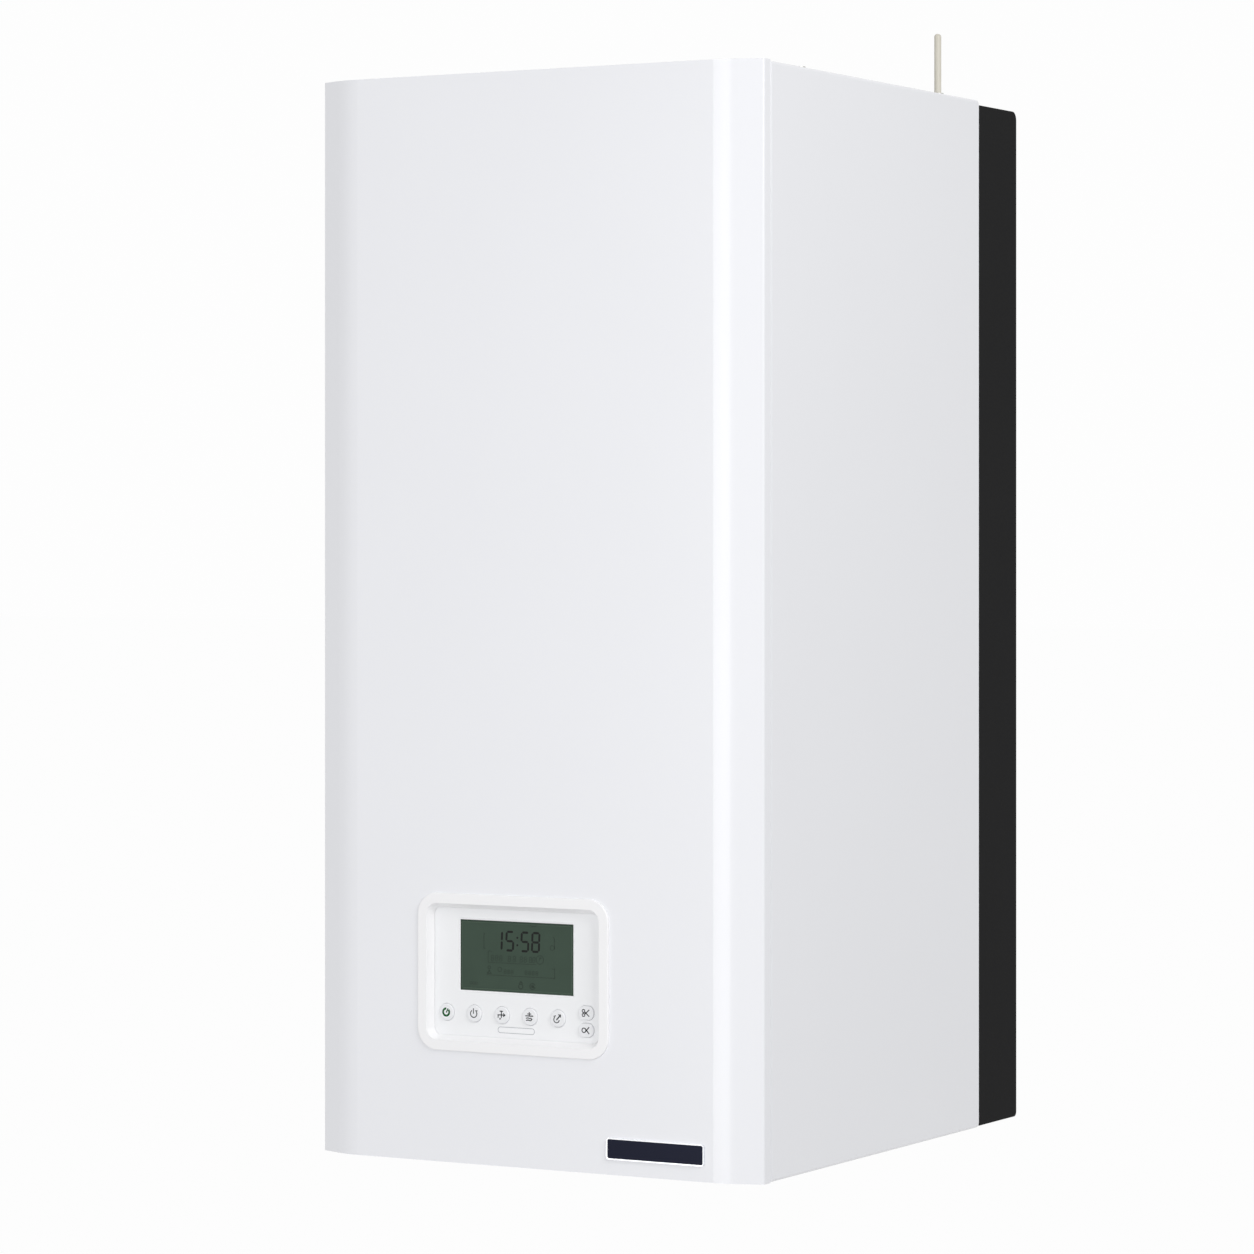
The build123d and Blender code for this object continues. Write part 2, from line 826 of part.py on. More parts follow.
# Hollow turns that the water runs through, joined by a header, around the burner
def exchanger_coil():
    outer = exchanger_radius - exchanger_wall - coil_gap
    inner = coil_inner
    y = (exchanger_front + coil_front_gap, -frame_depth - exchanger_wall)
    coil = bar_y(0, y, exchanger_z, outer)
    pitch = (y[1] - y[0]) / coil_turns
    for turn in range(1, coil_turns):
        groove = (y[0] + turn * pitch - coil_groove / 2, y[0] + turn * pitch + coil_groove / 2)
        coil -= ring_y(groove, outer - coil_groove_depth, outer + overrun)
    for turn in range(coil_turns):
        middle = y[0] + (turn + 0.5) * pitch
        reach = (pitch - coil_groove) / 2 - coil_sheet
        coil -= ring_y((middle - reach, middle + reach), inner + coil_sheet, outer - coil_sheet)
    header = (inner + outer) / 2
    coil -= bar_y(header, (y[0] + coil_sheet, y[1] + overrun), exchanger_z, coil_header_radius)
    return coil - bar_y(0, (y[0] - overrun, y[1] + overrun), exchanger_z, inner)


# A ring about the drum's axis, between two radii
def ring_y(y, inner, outer):
    return bar_y(0, y, exchanger_z, outer) - bar_y(0, (y[0] - overrun, y[1] + overrun), exchanger_z, inner)


# The burner door carries the hollow duct that brings the mixture down from the fan
def burner_door():
    y = (door_front, exchanger_front)
    door = bar_y(0, y, exchanger_z, exchanger_radius + exchanger_flange / 2)
    half = duct_width / 2
    duct_y = (door_front - duct_depth, door_front)
    z = (exchanger_z - duct_below, exchanger_z + duct_above)
    duct = block((-half, half), duct_y, z)
    door += fillet(low_front_edge(duct, z[0], duct_y[0]), duct_depth / 2)
    inner_z = (z[0] + duct_wall, z[1] + overrun)
    hollow = block((-half + duct_wall, half - duct_wall), (duct_y[0] + duct_wall, duct_y[1]), inner_z)
    door -= fillet(low_front_edge(hollow, inner_z[0], duct_y[0] + duct_wall), duct_depth / 2 - duct_wall)
    mouth = (door_front - duct_wall, exchanger_front + overrun)
    door -= bar_y(0, mouth, exchanger_z, burner_radius - burner_wall)
    for x in electrode_places():
        hole = (y[0] - overrun, y[1] + overrun)
        door -= bar_y(x, hole, exchanger_z - electrode_drop, electrode_radius + play)
    return door


def low_front_edge(solid, z, y):
    return [e for e in rim_edges(solid, z, y) if e.center().Z < exchanger_z]


def burner_tube():
    y = (exchanger_front, exchanger_front + burner_length)
    tube = bar_y(0, y, exchanger_z, burner_radius)
    return tube - bar_y(0, (y[0] - overrun, y[1] - burner_wall), exchanger_z, burner_radius - burner_wall)


def electrode_places():
    return [side * electrode_spacing / 2 for side in (-1, 1)]


def electrodes():
    pins = []
    for x in electrode_places():
        z = exchanger_z - electrode_drop
        pin = bar_y(x, (door_front, exchanger_front + electrode_reach), z, electrode_radius)
        pins.append(pin + bar_y(x, (door_front - electrode_out, door_front), z, electrode_base_radius))
    return pins


def flue_pipe():
    low = exchanger_z + exchanger_radius + exchanger_wall
    z = (low, top - collar_below_top - collar_height)
    pipe = bar_z(0, -flue_y, z, flue_radius)
    return pipe - bar_z(0, -flue_y, (z[0] - overrun, z[1] + overrun), flue_radius - flue_wall)


# Twin collar: the flue socket stands in the air socket, joined by webs at its foot
def flue_collar():
    z = (top - collar_below_top - collar_height, top - collar_below_top)
    seat = cover_z - collar_seat
    through = (z[0] - overrun, z[1] + overrun)
    outer = collar_radius + collar_wall
    collar = bar_z(0, -flue_y, z, outer) - bar_z(0, -flue_y, through, collar_radius)
    socket = flue_radius + play
    inner = bar_z(0, -flue_y, z, socket + collar_wall) - bar_z(0, -flue_y, through, socket)
    foot = bar_z(0, -flue_y, (z[0], z[0] + collar_wall), socket + collar_wall)
    inner += foot - bar_z(0, -flue_y, through, flue_radius - flue_wall)
    collar += inner
    web = collar_web / 2
    reach = outer - collar_wall / 2
    low = (z[0], z[0] + 2 * collar_wall)
    spokes = [
        block((-reach, reach), (-web - flue_y, web - flue_y), low),
        block((-web, web), (-reach - flue_y, reach - flue_y), low),
    ]
    for spoke in spokes:
        collar += spoke - bar_z(0, -flue_y, through, socket + collar_wall / 2)
    brim = bar_z(0, -flue_y, (seat, cover_z), duct_hole_radius + collar_seat)
    return collar + (brim - bar_z(0, -flue_y, (seat - overrun, cover_z + overrun), collar_radius))


def door_screw_places():
    reach = exchanger_radius + exchanger_flange / 2
    turns = [radians(30 + 60 * step) for step in range(6)]
    return [(reach * cos(turn), exchanger_z + reach * sin(turn)) for turn in turns]


# Premix fan: volute with its outlet down to the burner door, impeller on its shaft, motor in front
def fan_housing():
    y = (fan_front, fan_back)
    inner_y = (y[0] + fan_wall, y[1] - fan_wall)
    left = fan_x - fan_radius
    low = exchanger_z + duct_above
    volute = bar_y(fan_x, y, fan_z, fan_radius)
    volute += block((left, left + fan_outlet_width), y, (low, fan_z))
    volute -= bar_y(fan_x, inner_y, fan_z, fan_radius - fan_wall)
    volute -= block((left + fan_wall, left + fan_outlet_width - fan_wall), inner_y, (low - overrun, fan_z))
    volute -= bar_y(fan_x, (inner_y[1] - overrun, y[1] + overrun), fan_z, fan_inlet_radius)
    return volute - bar_y(fan_x, (y[0] - overrun, inner_y[0] + overrun), fan_z, shaft_radius + play)


def rotor(x, z, y, radius, blades, shaft_end):
    hub = 3 * shaft_radius
    wheel = bar_y(x, y, z, hub) + bar_y(x, (y[0], y[0] + blade_sheet), z, radius)
    for step in range(blades):
        blade = block((hub - blade_sheet, radius - blade_sheet), y, (-blade_sheet / 2, blade_sheet / 2))
        wheel += Pos(x, 0, z) * Rot(0, 360 * step / blades, 0) * blade
    return wheel + bar_y(x, (shaft_end, y[0]), z, shaft_radius)


def fan_impeller():
    back = fan_back - fan_wall - overrun
    y = (back - impeller_depth, back)
    return rotor(fan_x, fan_z, y, impeller_radius, impeller_blades, fan_front - shaft_length)


def motor(x, z, front_y, back_y, radius):
    body = bar_y(x, (front_y, back_y), z, radius)
    body = fillet(body.faces().sort_by(Axis.Y)[0].edges(), radius / 8)
    return body - bar_y(x, (back_y - shaft_length - play, back_y + overrun), z, shaft_radius + shaft_play)


def mixing_venturi():
    y = (fan_back, fan_back + venturi_length)
    gas_y = fan_back + venturi_length / 2
    tube = bar_y(fan_x, y, fan_z, venturi_radius)
    tube += bar_x((fan_x, gas_valve_x - gas_valve_width / 2), gas_y, fan_z, gas_port_radius)
    tube -= bar_y(fan_x, (y[0] - overrun, y[1] + overrun), fan_z, venturi_radius - 2 * venturi_wall)
    reach = gas_valve_x - gas_valve_width / 2 + overrun
    return tube - bar_x((fan_x, reach), gas_y, fan_z, gas_port_radius - venturi_wall)


def gas_valve_middle():
    return gas_valve_x, fan_back + venturi_length / 2, fan_z


def gas_valve():
    x, y, z = gas_valve_middle()
    body = Pos(x, y, z) * Box(gas_valve_width, gas_valve_depth, gas_valve_height)
    body = fillet(body.edges().filter_by(Axis.Z), venturi_wall)
    head = z + gas_valve_height / 2
    for side in (-1, 1):
        coil_y = y + side * gas_valve_depth / 4
        body += bar_z(x, coil_y, (head, head + gas_valve_height / 4), gas_valve_depth / 5)
    return body


# Connections: every pipe ends in a union or a valve just above the lower edge
def valve_top():
    return stub_bottom + 2 * valve_nut_height + valve_height


def union(x, with_spindle):
    thread = (stub_bottom, stub_bottom + valve_nut_height)
    middle = (thread[1], thread[1] + valve_height)
    body = bar_z(x, -stub_y, thread, thread_radius)
    body += bar_z(x, -stub_y, middle, valve_radius)
    nut = extrude(RegularPolygon(valve_nut_radius, 6), valve_nut_height)
    body += Pos(x, -stub_y, middle[1]) * nut
    axis_z = (middle[0] + middle[1]) / 2
    face = -stub_y - valve_radius - spindle_reach
    if with_spindle:
        body += bar_y(x, (face, -stub_y), axis_z, 2 * spindle_radius)
    body -= bar_z(x, -stub_y, (thread[0] - overrun, valve_top() + overrun), valve_bore)
    if with_spindle:
        seat = (face - overrun, -stub_y - valve_bore - shaft_radius)
        body -= bar_y(x, seat, axis_z, spindle_radius + shaft_play)
    return body


def valve_lever(x):
    axis_z = stub_bottom + valve_nut_height + valve_height / 2
    face = -stub_y - valve_radius - spindle_reach - play
    end = -stub_y - valve_bore - shaft_radius - play
    y = (face - lever_sheet, face)
    half = lever_width / 2
    tip = axis_z - lever_length + half
    lever = bar_y(x, y, axis_z, half) + bar_y(x, y, tip, half)
    lever += block((x - half, x + half), y, (tip, axis_z))
    lever += bar_y(x, (y[0] - lever_sheet, y[0]), axis_z, spindle_radius)
    return lever + bar_y(x, (face, end), axis_z, spindle_radius)


# Circulator, in line with the return connection and bolted to the lower cross rail
def pump_faces():
    return -stub_y - pump_depth / 2, -stub_y + pump_depth / 2


def pump_body():
    y = pump_faces()
    ends = (pump_z - pump_reach, pump_z + pump_reach)
    body = bar_y(return_x, y, pump_z, pump_radius)
    body += bar_z(return_x, -stub_y, ends, pump_port_radius)
    body += bar_y(return_x, (y[1], -frame_depth), pump_z, pump_port_radius)
    body -= bar_y(return_x, (y[0] - overrun, y[1] - pump_wall), pump_z, pump_radius - 2 * pump_wall)
    return body - bar_z(return_x, -stub_y, (ends[0] - overrun, ends[1] + overrun), valve_bore)


def pump_impeller():
    front_y = pump_faces()[0] + pump_wall
    y = (front_y, front_y + pump_impeller_depth)
    shaft_end = front_y - pump_wall - shaft_length
    return rotor(return_x, pump_z, y, pump_impeller_radius, pump_blades, shaft_end)


# Diverter valve: the spindle's plug sends the water to the radiators or to the plate exchanger
def diverter_body():
    z = (diverter_z, diverter_z + diverter_height)
    body = bar_z(flow_x, -stub_y, z, diverter_radius)
    inlet, branch = diverter_ports()
    body += bar_x((inlet[0], flow_x), -stub_y, inlet[2], diverter_port_radius)
    body += bar_y(flow_x, (branch[1], -stub_y), branch[2], diverter_port_radius)
    body -= bar_z(flow_x, -stub_y, (z[0] + diverter_wall, z[1] - diverter_wall), diverter_chamber_radius)
    body -= bar_z(flow_x, -stub_y, (z[0] - overrun, z[0] + diverter_wall), valve_bore)
    body -= bar_x((inlet[0] - overrun, flow_x), -stub_y, inlet[2], valve_bore)
    body -= bar_y(flow_x, (branch[1] - overrun, -stub_y), branch[2], valve_bore)
    bore = diverter_spindle_radius + shaft_play
    return body - bar_z(flow_x, -stub_y, (z[1] - diverter_wall, z[1] + overrun), bore)


def diverter_ports():
    inlet = (flow_x - diverter_port_reach, -stub_y, diverter_z + diverter_height - diverter_radius)
    branch = (flow_x, -stub_y - diverter_port_reach, diverter_z + diverter_radius)
    return inlet, branch


def diverter_spindle():
    top_z = diverter_z + diverter_height
    plug = diverter_z + (diverter_height - plug_height - diverter_travel) / 2
    spindle = bar_z(flow_x, -stub_y, (plug, top_z + actuator_height / 3), diverter_spindle_radius)
    return spindle + bar_z(flow_x, -stub_y, (plug, plug + plug_height), plug_radius)


def diverter_actuator():
    z = (diverter_z + diverter_height, diverter_z + diverter_height + actuator_height)
    x = (flow_x - actuator_width / 2, flow_x + actuator_width / 2)
    rear = -stub_y + pipe_radius + plates_gap / 2
    y = (rear - actuator_depth, rear)
    box = block(x, y, z)
    box = fillet(box.edges().filter_by(Axis.Z), actuator_wall)
    wall = actuator_wall
    box -= block((x[0] + wall, x[1] - wall), (y[0] + wall, y[1] - wall), (z[0] + wall, z[1] - wall))
    bore = diverter_spindle_radius + play
    return box - bar_z(flow_x, -stub_y, (z[0] - overrun, z[0] + wall + overrun), bore)


# Plate exchanger: a brazed stack on the lower cross rail, four nozzles towards the front
def nozzle_places():
    reach_x = plates_width / 2 - nozzle_inset
    reach_z = plates_height / 2 - nozzle_inset
    middle = panel_z + plates_rise + plates_height / 2
    return [(-plates_x + side * reach_x, middle + end * reach_z) for side in (-1, 1) for end in (-1, 1)]


def nozzle_face():
    return -frame_depth - plates_depth - nozzle_length


def plate_exchanger():
    y = (-frame_depth - plates_depth, -frame_depth)
    x = (-plates_x - plates_width / 2, -plates_x + plates_width / 2)
    z = (panel_z + plates_rise, panel_z + plates_rise + plates_height)
    stack = block(x, y, z)
    stack = fillet(stack.edges().filter_by(Axis.Y), nozzle_radius)
    pitch = plates_depth / plates_count
    inset = plates_groove
    core = block((x[0] + inset, x[1] - inset), y, (z[0] + inset, z[1] - inset))
    for step in range(1, plates_count):
        middle = y[0] + step * pitch
        gap = (middle - plates_groove / 2, middle + plates_groove / 2)
        rim = block((x[0] - overrun, x[1] + overrun), gap, (z[0] - overrun, z[1] + overrun))
        stack -= rim - fillet(core.edges().filter_by(Axis.Y), nozzle_radius - plates_groove)
    for nozzle_x, nozzle_z in nozzle_places():
        stack += bar_y(nozzle_x, (y[0] - nozzle_length, y[0]), nozzle_z, nozzle_radius)
        stack -= bar_y(nozzle_x, (y[0] - nozzle_length - overrun, y[0]), nozzle_z, valve_bore)
    return stack


# Flat expansion vessel on the back plate, its nipple downwards
def expansion_vessel():
    plate = -frame_recess - frame_sheet
    z = vessel_z
    back = plate - 2 * sheet
    middle = back - vessel_depth / 2
    edge_round = (vessel_depth - vessel_rim_depth) / 2
    shell = bar_y(0, (back - vessel_depth, back), z, vessel_radius - sheet)
    shell = fillet(shell.edges(), edge_round)
    shell += bar_y(0, (middle - vessel_seam / 2, middle + vessel_seam / 2), z, vessel_radius)
    shell += bar_y(0, (back - overrun, plate), z, vessel_boss_radius)
    low = z - vessel_radius - vessel_nipple_length
    shell += bar_z(0, middle, (low, z - vessel_radius + overrun), vessel_nipple_radius)
    inner_y = (back - vessel_depth + vessel_sheet, back - vessel_sheet)
    room = bar_y(0, inner_y, z, vessel_radius - sheet - vessel_sheet)
    shell -= fillet(room.edges(), edge_round - vessel_sheet)
    return shell - bar_z(0, middle, (low - overrun, z - vessel_radius + 2 * overrun), vessel_nipple_bore)


def vessel_nipple_end():
    middle = -frame_recess - frame_sheet - 2 * sheet - vessel_depth / 2
    return 0, middle, vessel_z - vessel_radius - vessel_nipple_length


def straight_pipe(x, low, high):
    tube = bar_z(x, -stub_y, (low, high), pipe_radius)
    return tube - bar_z(x, -stub_y, (low - overrun, high + overrun), valve_bore)


# Heating pipes: flow from the exchanger to the diverter and down, return up through the circulator
def heating_pipes():
    port = exchanger_radius + water_port_reach
    side = riser_x
    nozzles = nozzle_places()
    inlet, branch = diverter_ports()
    high_z = exchanger_z + water_port_rise
    low_z = exchanger_z - water_port_rise
    flow = bent_pipe(
        [(-port, -stub_y, high_z), (-side, -stub_y, high_z), (-side, -stub_y, inlet[2]), inlet],
        pipe_radius, pipe_bend, valve_bore,
    )
    radiator_flow = straight_pipe(flow_x, valve_top(), diverter_z)
    crossing = min(pump_z + pump_reach + 3.5 * pipe_bend, low_z - 2.5 * pipe_bend)
    back_flow = bent_pipe(
        [(return_x, -stub_y, pump_z + pump_reach), (return_x, -stub_y, crossing), (side, -stub_y, crossing),
         (side, -stub_y, low_z), (port, -stub_y, low_z)],
        pipe_radius, pipe_bend, valve_bore,
    )
    nipple = vessel_nipple_end()
    joint_z = vessel_joint_z
    vessel_pipe = bent_pipe(
        [nipple, (0, nipple[1], joint_z), (0, -stub_y, joint_z), (return_x - pipe_edge, -stub_y, joint_z)],
        pipe_radius / 1.5, pipe_bend,
    )
    radiator_return = straight_pipe(return_x, valve_top(), pump_z - pump_reach)
    out_y = branch[1] - 1.7 * pipe_bend
    low, high = nozzles[0], nozzles[1]
    primary_in = bent_pipe(
        [branch, (flow_x, out_y, branch[2]), (high[0], out_y, branch[2]), (high[0], out_y, high[1]),
         (high[0], nozzle_face(), high[1])],
        pipe_radius, pipe_bend, valve_bore,
    )
    far_y = out_y - pipe_bend
    joint_z = low[1] - 3.2 * pipe_bend
    primary_out = bent_pipe(
        [(low[0], nozzle_face(), low[1]), (low[0], far_y, low[1]), (low[0], far_y, joint_z),
         (return_x, far_y, joint_z), (return_x, -stub_y - pipe_edge, joint_z)],
        pipe_radius, pipe_bend,
    )
    return [flow, radiator_flow, back_flow + vessel_pipe, radiator_return + primary_out, primary_in]


# Tap water pipes: cold up to the plate exchanger's head, hot from its foot
def domestic_pipes():
    low, high = nozzle_places()[2:]
    return [tap_pipe(cold_x, high, 5), tap_pipe(hot_x, low, 3.8)]


# A tap pipe rises from its valve, slants out to its nozzle's line and turns back into the nozzle
def tap_pipe(x, nozzle, bends_below):
    out_y = nozzle_face() - 2.2 * pipe_bend
    slant = (nozzle[1] - bends_below * pipe_bend, nozzle[1] - 2.3 * pipe_bend)
    points = [
        (x, -stub_y, valve_top()), (x, -stub_y, slant[0]), (nozzle[0], out_y, slant[1]),
        (nozzle[0], out_y, nozzle[1]), (nozzle[0], nozzle_face(), nozzle[1]),
    ]
    return bent_pipe(points, pipe_radius, pipe_bend * 0.9, valve_bore)


def gas_pipe():
    x, y, z = gas_valve_middle()
    x += gas_port_radius
    start = z - gas_valve_height / 2
    points = [
        (x, y, start), (x, y, exchanger_z - exchanger_radius - 2 * hose_bend),
        (gas_x, -stub_y, panel_z + pump_rise / 2), (gas_x, -stub_y, valve_top()),
    ]
    return bent_pipe(points, gas_pipe_radius, hose_bend, valve_bore)


# Condensate: a hose from the drum's drain to the siphon, which drains through the bottom panel
def siphon_top():
    return panel_z + sheet + siphon_height


def condensate_siphon():
    low = panel_z + sheet
    body = bar_z(siphon_x, -siphon_y, (low, siphon_top()), siphon_radius)
    body = fillet(body.edges(), siphon_neck_radius / 3)
    body += bar_z(siphon_x, -siphon_y, (siphon_top(), siphon_top() + siphon_neck), siphon_neck_radius)
    return body + bar_z(siphon_x, -siphon_y, (low - bottom_recess / 2, low), siphon_outlet_radius)


def condensate_hose():
    drain = exchanger_z - exchanger_radius - condensate_port_length
    points = [
        (0, -condensate_port_y, drain + siphon_neck), (0, -condensate_port_y, drain - 1.5 * hose_bend),
        (siphon_x, -siphon_y, siphon_top() + 3 * hose_bend), (siphon_x, -siphon_y, siphon_top()),
    ]
    return bent_pipe(points, hose_radius, hose_bend, hose_bore)


# Safety valve on the return pipe, its knob towards the front
def relief_z():
    return pump_z - pump_reach - relief_side


def safety_valve_body():
    y = (-stub_y - pipe_radius - relief_height, -stub_y - pipe_radius)
    z = relief_z()
    body = bar_y(return_x, y, z, relief_radius)
    body += bar_z(return_x, (y[0] + y[1]) / 2, (z - 2 * relief_radius, z), relief_radius * 0.6)
    outlet = (z - 2 * relief_radius - overrun, z - relief_radius)
    body -= bar_z(return_x, (y[0] + y[1]) / 2, outlet, relief_radius * 0.4)
    return body - bar_y(return_x, (y[0] - overrun, y[0] + knob_height / 2), z, shaft_radius + shaft_play)


def safety_valve_knob():
    face = -stub_y - pipe_radius - relief_height - knob_gap
    y = (face - knob_height, face)
    knob = bar_y(return_x, y, relief_z(), knob_radius)
    for step in range(knob_grips):
        turn = radians(360 * step / knob_grips)
        x = return_x + knob_radius * cos(turn)
        z = relief_z() + knob_radius * sin(turn)
        knob -= bar_y(x, (y[0] - overrun, y[1] + overrun), z, grip_radius)
    return knob + bar_y(return_x, (face, face + knob_height / 2), relief_z(), shaft_radius)


def cable_gland():
    under = (panel_z - gland_height, panel_z)
    over = (panel_z + sheet, panel_z + sheet + gland_height / 3)
    gland = Pos(-gland_x, -gland_y, under[0]) * extrude(RegularPolygon(gland_radius, 6), gland_height)
    gland += bar_z(-gland_x, -gland_y, (under[1], over[0]), gland_thread)
    gland += Pos(-gland_x, -gland_y, over[0]) * extrude(RegularPolygon(gland_radius, 6), gland_height / 3)
    return gland - bar_z(-gland_x, -gland_y, (under[0] - overrun, over[1] + overrun), gland_bore)


def screws():
    group = []
    for x, y in top_screw_places():
        head = bar_z(x, y, (side_top, side_top + sheet), screw_head_radius)
        group.append(head + bar_z(x, y, (side_top - screw_length, side_top), screw_radius))
    screw_end = exchanger_front + exchanger_flange_depth
    for x, z in door_screw_places():
        head = bar_y(x, (door_front - screw_head, door_front), z, screw_head_radius)
        group.append(head + bar_y(x, (door_front, screw_end), z, screw_radius))
    return group


def drilled_for_screws(piece):
    hole = (door_front - overrun, exchanger_front + exchanger_flange_depth + overrun)
    for x, z in door_screw_places():
        piece -= bar_y(x, hole, z, screw_radius)
    return piece


pump_front = pump_faces()[0]
save("facade", facade())
save("control_bezel", control_bezel())
save("badge_plate", badge_plate())
save("facade_studs", *facade_studs())
save("facade_clips", *facade_clips())
save("facade_seal", facade_seal())
save("side_panel_left", side_panel(-1))
save("side_panel_right", side_panel(1))
save("top_panel", top_panel())
save("bottom_panel", bottom_panel())
save("rear_frame", rear_frame())
save("wall_rail", wall_rail())
save("control_fascia", control_fascia())
save("lcd_window", lcd_window())
save("lcd_module", lcd_module())
save("control_board", *control_board())
save("control_housing", control_housing())
for number, place in enumerate(button_places(), 1):
    save(f"button_{number}", round_button(place))
for name, place in zip(("upper", "lower"), key_places()):
    save(f"key_{name}", key_button(*place))
save("antenna_rod", antenna_rod())
save("antenna_grommet", antenna_grommet())
save("exchanger_shell", drilled_for_screws(exchanger_shell()))
save("exchanger_coil", exchanger_coil())
save("burner_door", drilled_for_screws(burner_door()))
save("burner_tube", burner_tube())
save("electrodes", *electrodes())
save("flue_pipe", flue_pipe())
save("flue_collar", flue_collar())
save("fan_housing", fan_housing())
save("fan_impeller", fan_impeller())
save("fan_motor", motor(fan_x, fan_z, fan_front - motor_depth, fan_front, motor_radius))
save("mixing_venturi", mixing_venturi())
save("gas_valve", gas_valve())
save("gas_pipe", gas_pipe())
save("valve_bodies", *[union(x, x != hot_x) for x in (flow_x, hot_x, cold_x, return_x, gas_x)])
save("flow_valve_lever", valve_lever(flow_x))
save("return_valve_lever", valve_lever(return_x))
save("cold_valve_lever", valve_lever(cold_x))
save("gas_cock_lever", valve_lever(gas_x))
save("pump_body", pump_body())
save("pump_impeller", pump_impeller())
save("pump_motor", motor(return_x, pump_z, pump_front - pump_motor_depth, pump_front, pump_motor_radius))
save("diverter_body", diverter_body())
save("diverter_spindle", diverter_spindle())
save("diverter_actuator", diverter_actuator())
save("plate_exchanger", plate_exchanger())
save("expansion_vessel", expansion_vessel())
save("heating_pipes", *heating_pipes())
save("domestic_pipes", *domestic_pipes())
save("condensate_siphon", condensate_siphon())
save("condensate_hose", condensate_hose())
save("safety_valve_body", safety_valve_body())
save("safety_valve_knob", safety_valve_knob())
save("cable_gland", cable_gland())
save("screws", *screws())
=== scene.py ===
import bmesh
import bpy
import json
from math import cos, radians, sin
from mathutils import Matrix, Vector


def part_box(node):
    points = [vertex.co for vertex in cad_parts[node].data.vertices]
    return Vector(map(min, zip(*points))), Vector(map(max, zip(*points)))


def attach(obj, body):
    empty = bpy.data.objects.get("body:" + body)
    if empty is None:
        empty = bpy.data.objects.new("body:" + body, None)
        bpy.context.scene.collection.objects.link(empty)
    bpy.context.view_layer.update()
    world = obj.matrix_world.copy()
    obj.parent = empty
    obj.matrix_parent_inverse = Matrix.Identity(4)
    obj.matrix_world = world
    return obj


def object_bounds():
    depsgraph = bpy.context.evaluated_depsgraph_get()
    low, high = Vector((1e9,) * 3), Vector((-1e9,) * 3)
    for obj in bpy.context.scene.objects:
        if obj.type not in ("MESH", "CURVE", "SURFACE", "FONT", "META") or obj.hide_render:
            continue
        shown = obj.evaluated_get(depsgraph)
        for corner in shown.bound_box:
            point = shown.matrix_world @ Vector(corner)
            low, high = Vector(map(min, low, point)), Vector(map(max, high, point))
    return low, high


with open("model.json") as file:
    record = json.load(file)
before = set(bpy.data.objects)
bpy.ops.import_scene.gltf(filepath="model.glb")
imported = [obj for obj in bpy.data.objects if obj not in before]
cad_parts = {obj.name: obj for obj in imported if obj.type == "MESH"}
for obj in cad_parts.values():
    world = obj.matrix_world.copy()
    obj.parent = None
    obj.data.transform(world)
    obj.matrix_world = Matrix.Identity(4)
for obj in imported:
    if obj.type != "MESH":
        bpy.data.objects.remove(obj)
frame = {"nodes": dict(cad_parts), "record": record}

mm = 0.001
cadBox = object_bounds()
nodes = frame["nodes"]


# Camera: level, to the right of the object, where the photograph was taken from
camera = {
    "place": (2.0135, -3.9258, -0.3358),
    "turn": 29.4,
    "lens": 132.06,
    "sensor": 36,
    "shiftUp": -0.0774,
    "sight": 200,
}
eye = bpy.data.cameras.new("photoCamera")
eye.lens = camera["lens"]
eye.sensor_width = camera["sensor"]
eye.shift_y = camera["shiftUp"]
eye.clip_end = camera["sight"]
eyeObject = bpy.data.objects.new("photoCamera", eye)
eyeObject.location = camera["place"]
eyeObject.rotation_euler = (radians(90), 0, radians(camera["turn"]))
bpy.context.collection.objects.link(eyeObject)
bpy.context.scene.camera = eyeObject
bpy.context.scene.view_settings.view_transform = "Standard"
print("camera set")


# Turns an sRGB colour in hex into linear light
def linear(hexColour):
    parts = [int(hexColour[at:at + 2], 16) / 255 for at in (1, 3, 5)]
    return [p / 12.92 if p <= 0.04045 else ((p + 0.055) / 1.055) ** 2.4 for p in parts] + [1]


# Adds a node, sets its properties and inputs, and links its inputs to other nodes' outputs
def add(tree, kind, settings=(), links=()):
    node = tree.nodes.new(kind)
    for name, value in dict(settings).items():
        if isinstance(name, int) or name in node.inputs:
            node.inputs[name].default_value = value
        else:
            setattr(node, name, value)
    for name, output in dict(links).items():
        tree.links.new(output, node.inputs[name])
    return node


def newMaterial(name):
    material = bpy.data.materials.new(name)
    material.use_nodes = True
    material.node_tree.nodes.clear()
    return material, material.node_tree


# Octaves of the noises for the fine relief, for the slow change of tone and for the display
noiseDetail = {"grain": 3, "cloud": 2, "display": 1}


# Blends a surface's two colours by a noise or by crystals
def twoTones(tree, look, share):
    tone = add(tree, "ShaderNodeMix",
               {"data_type": "RGBA", 6: linear(look["colour"]), 7: linear(look["second"])}, {0: share})
    return tone.outputs[2]


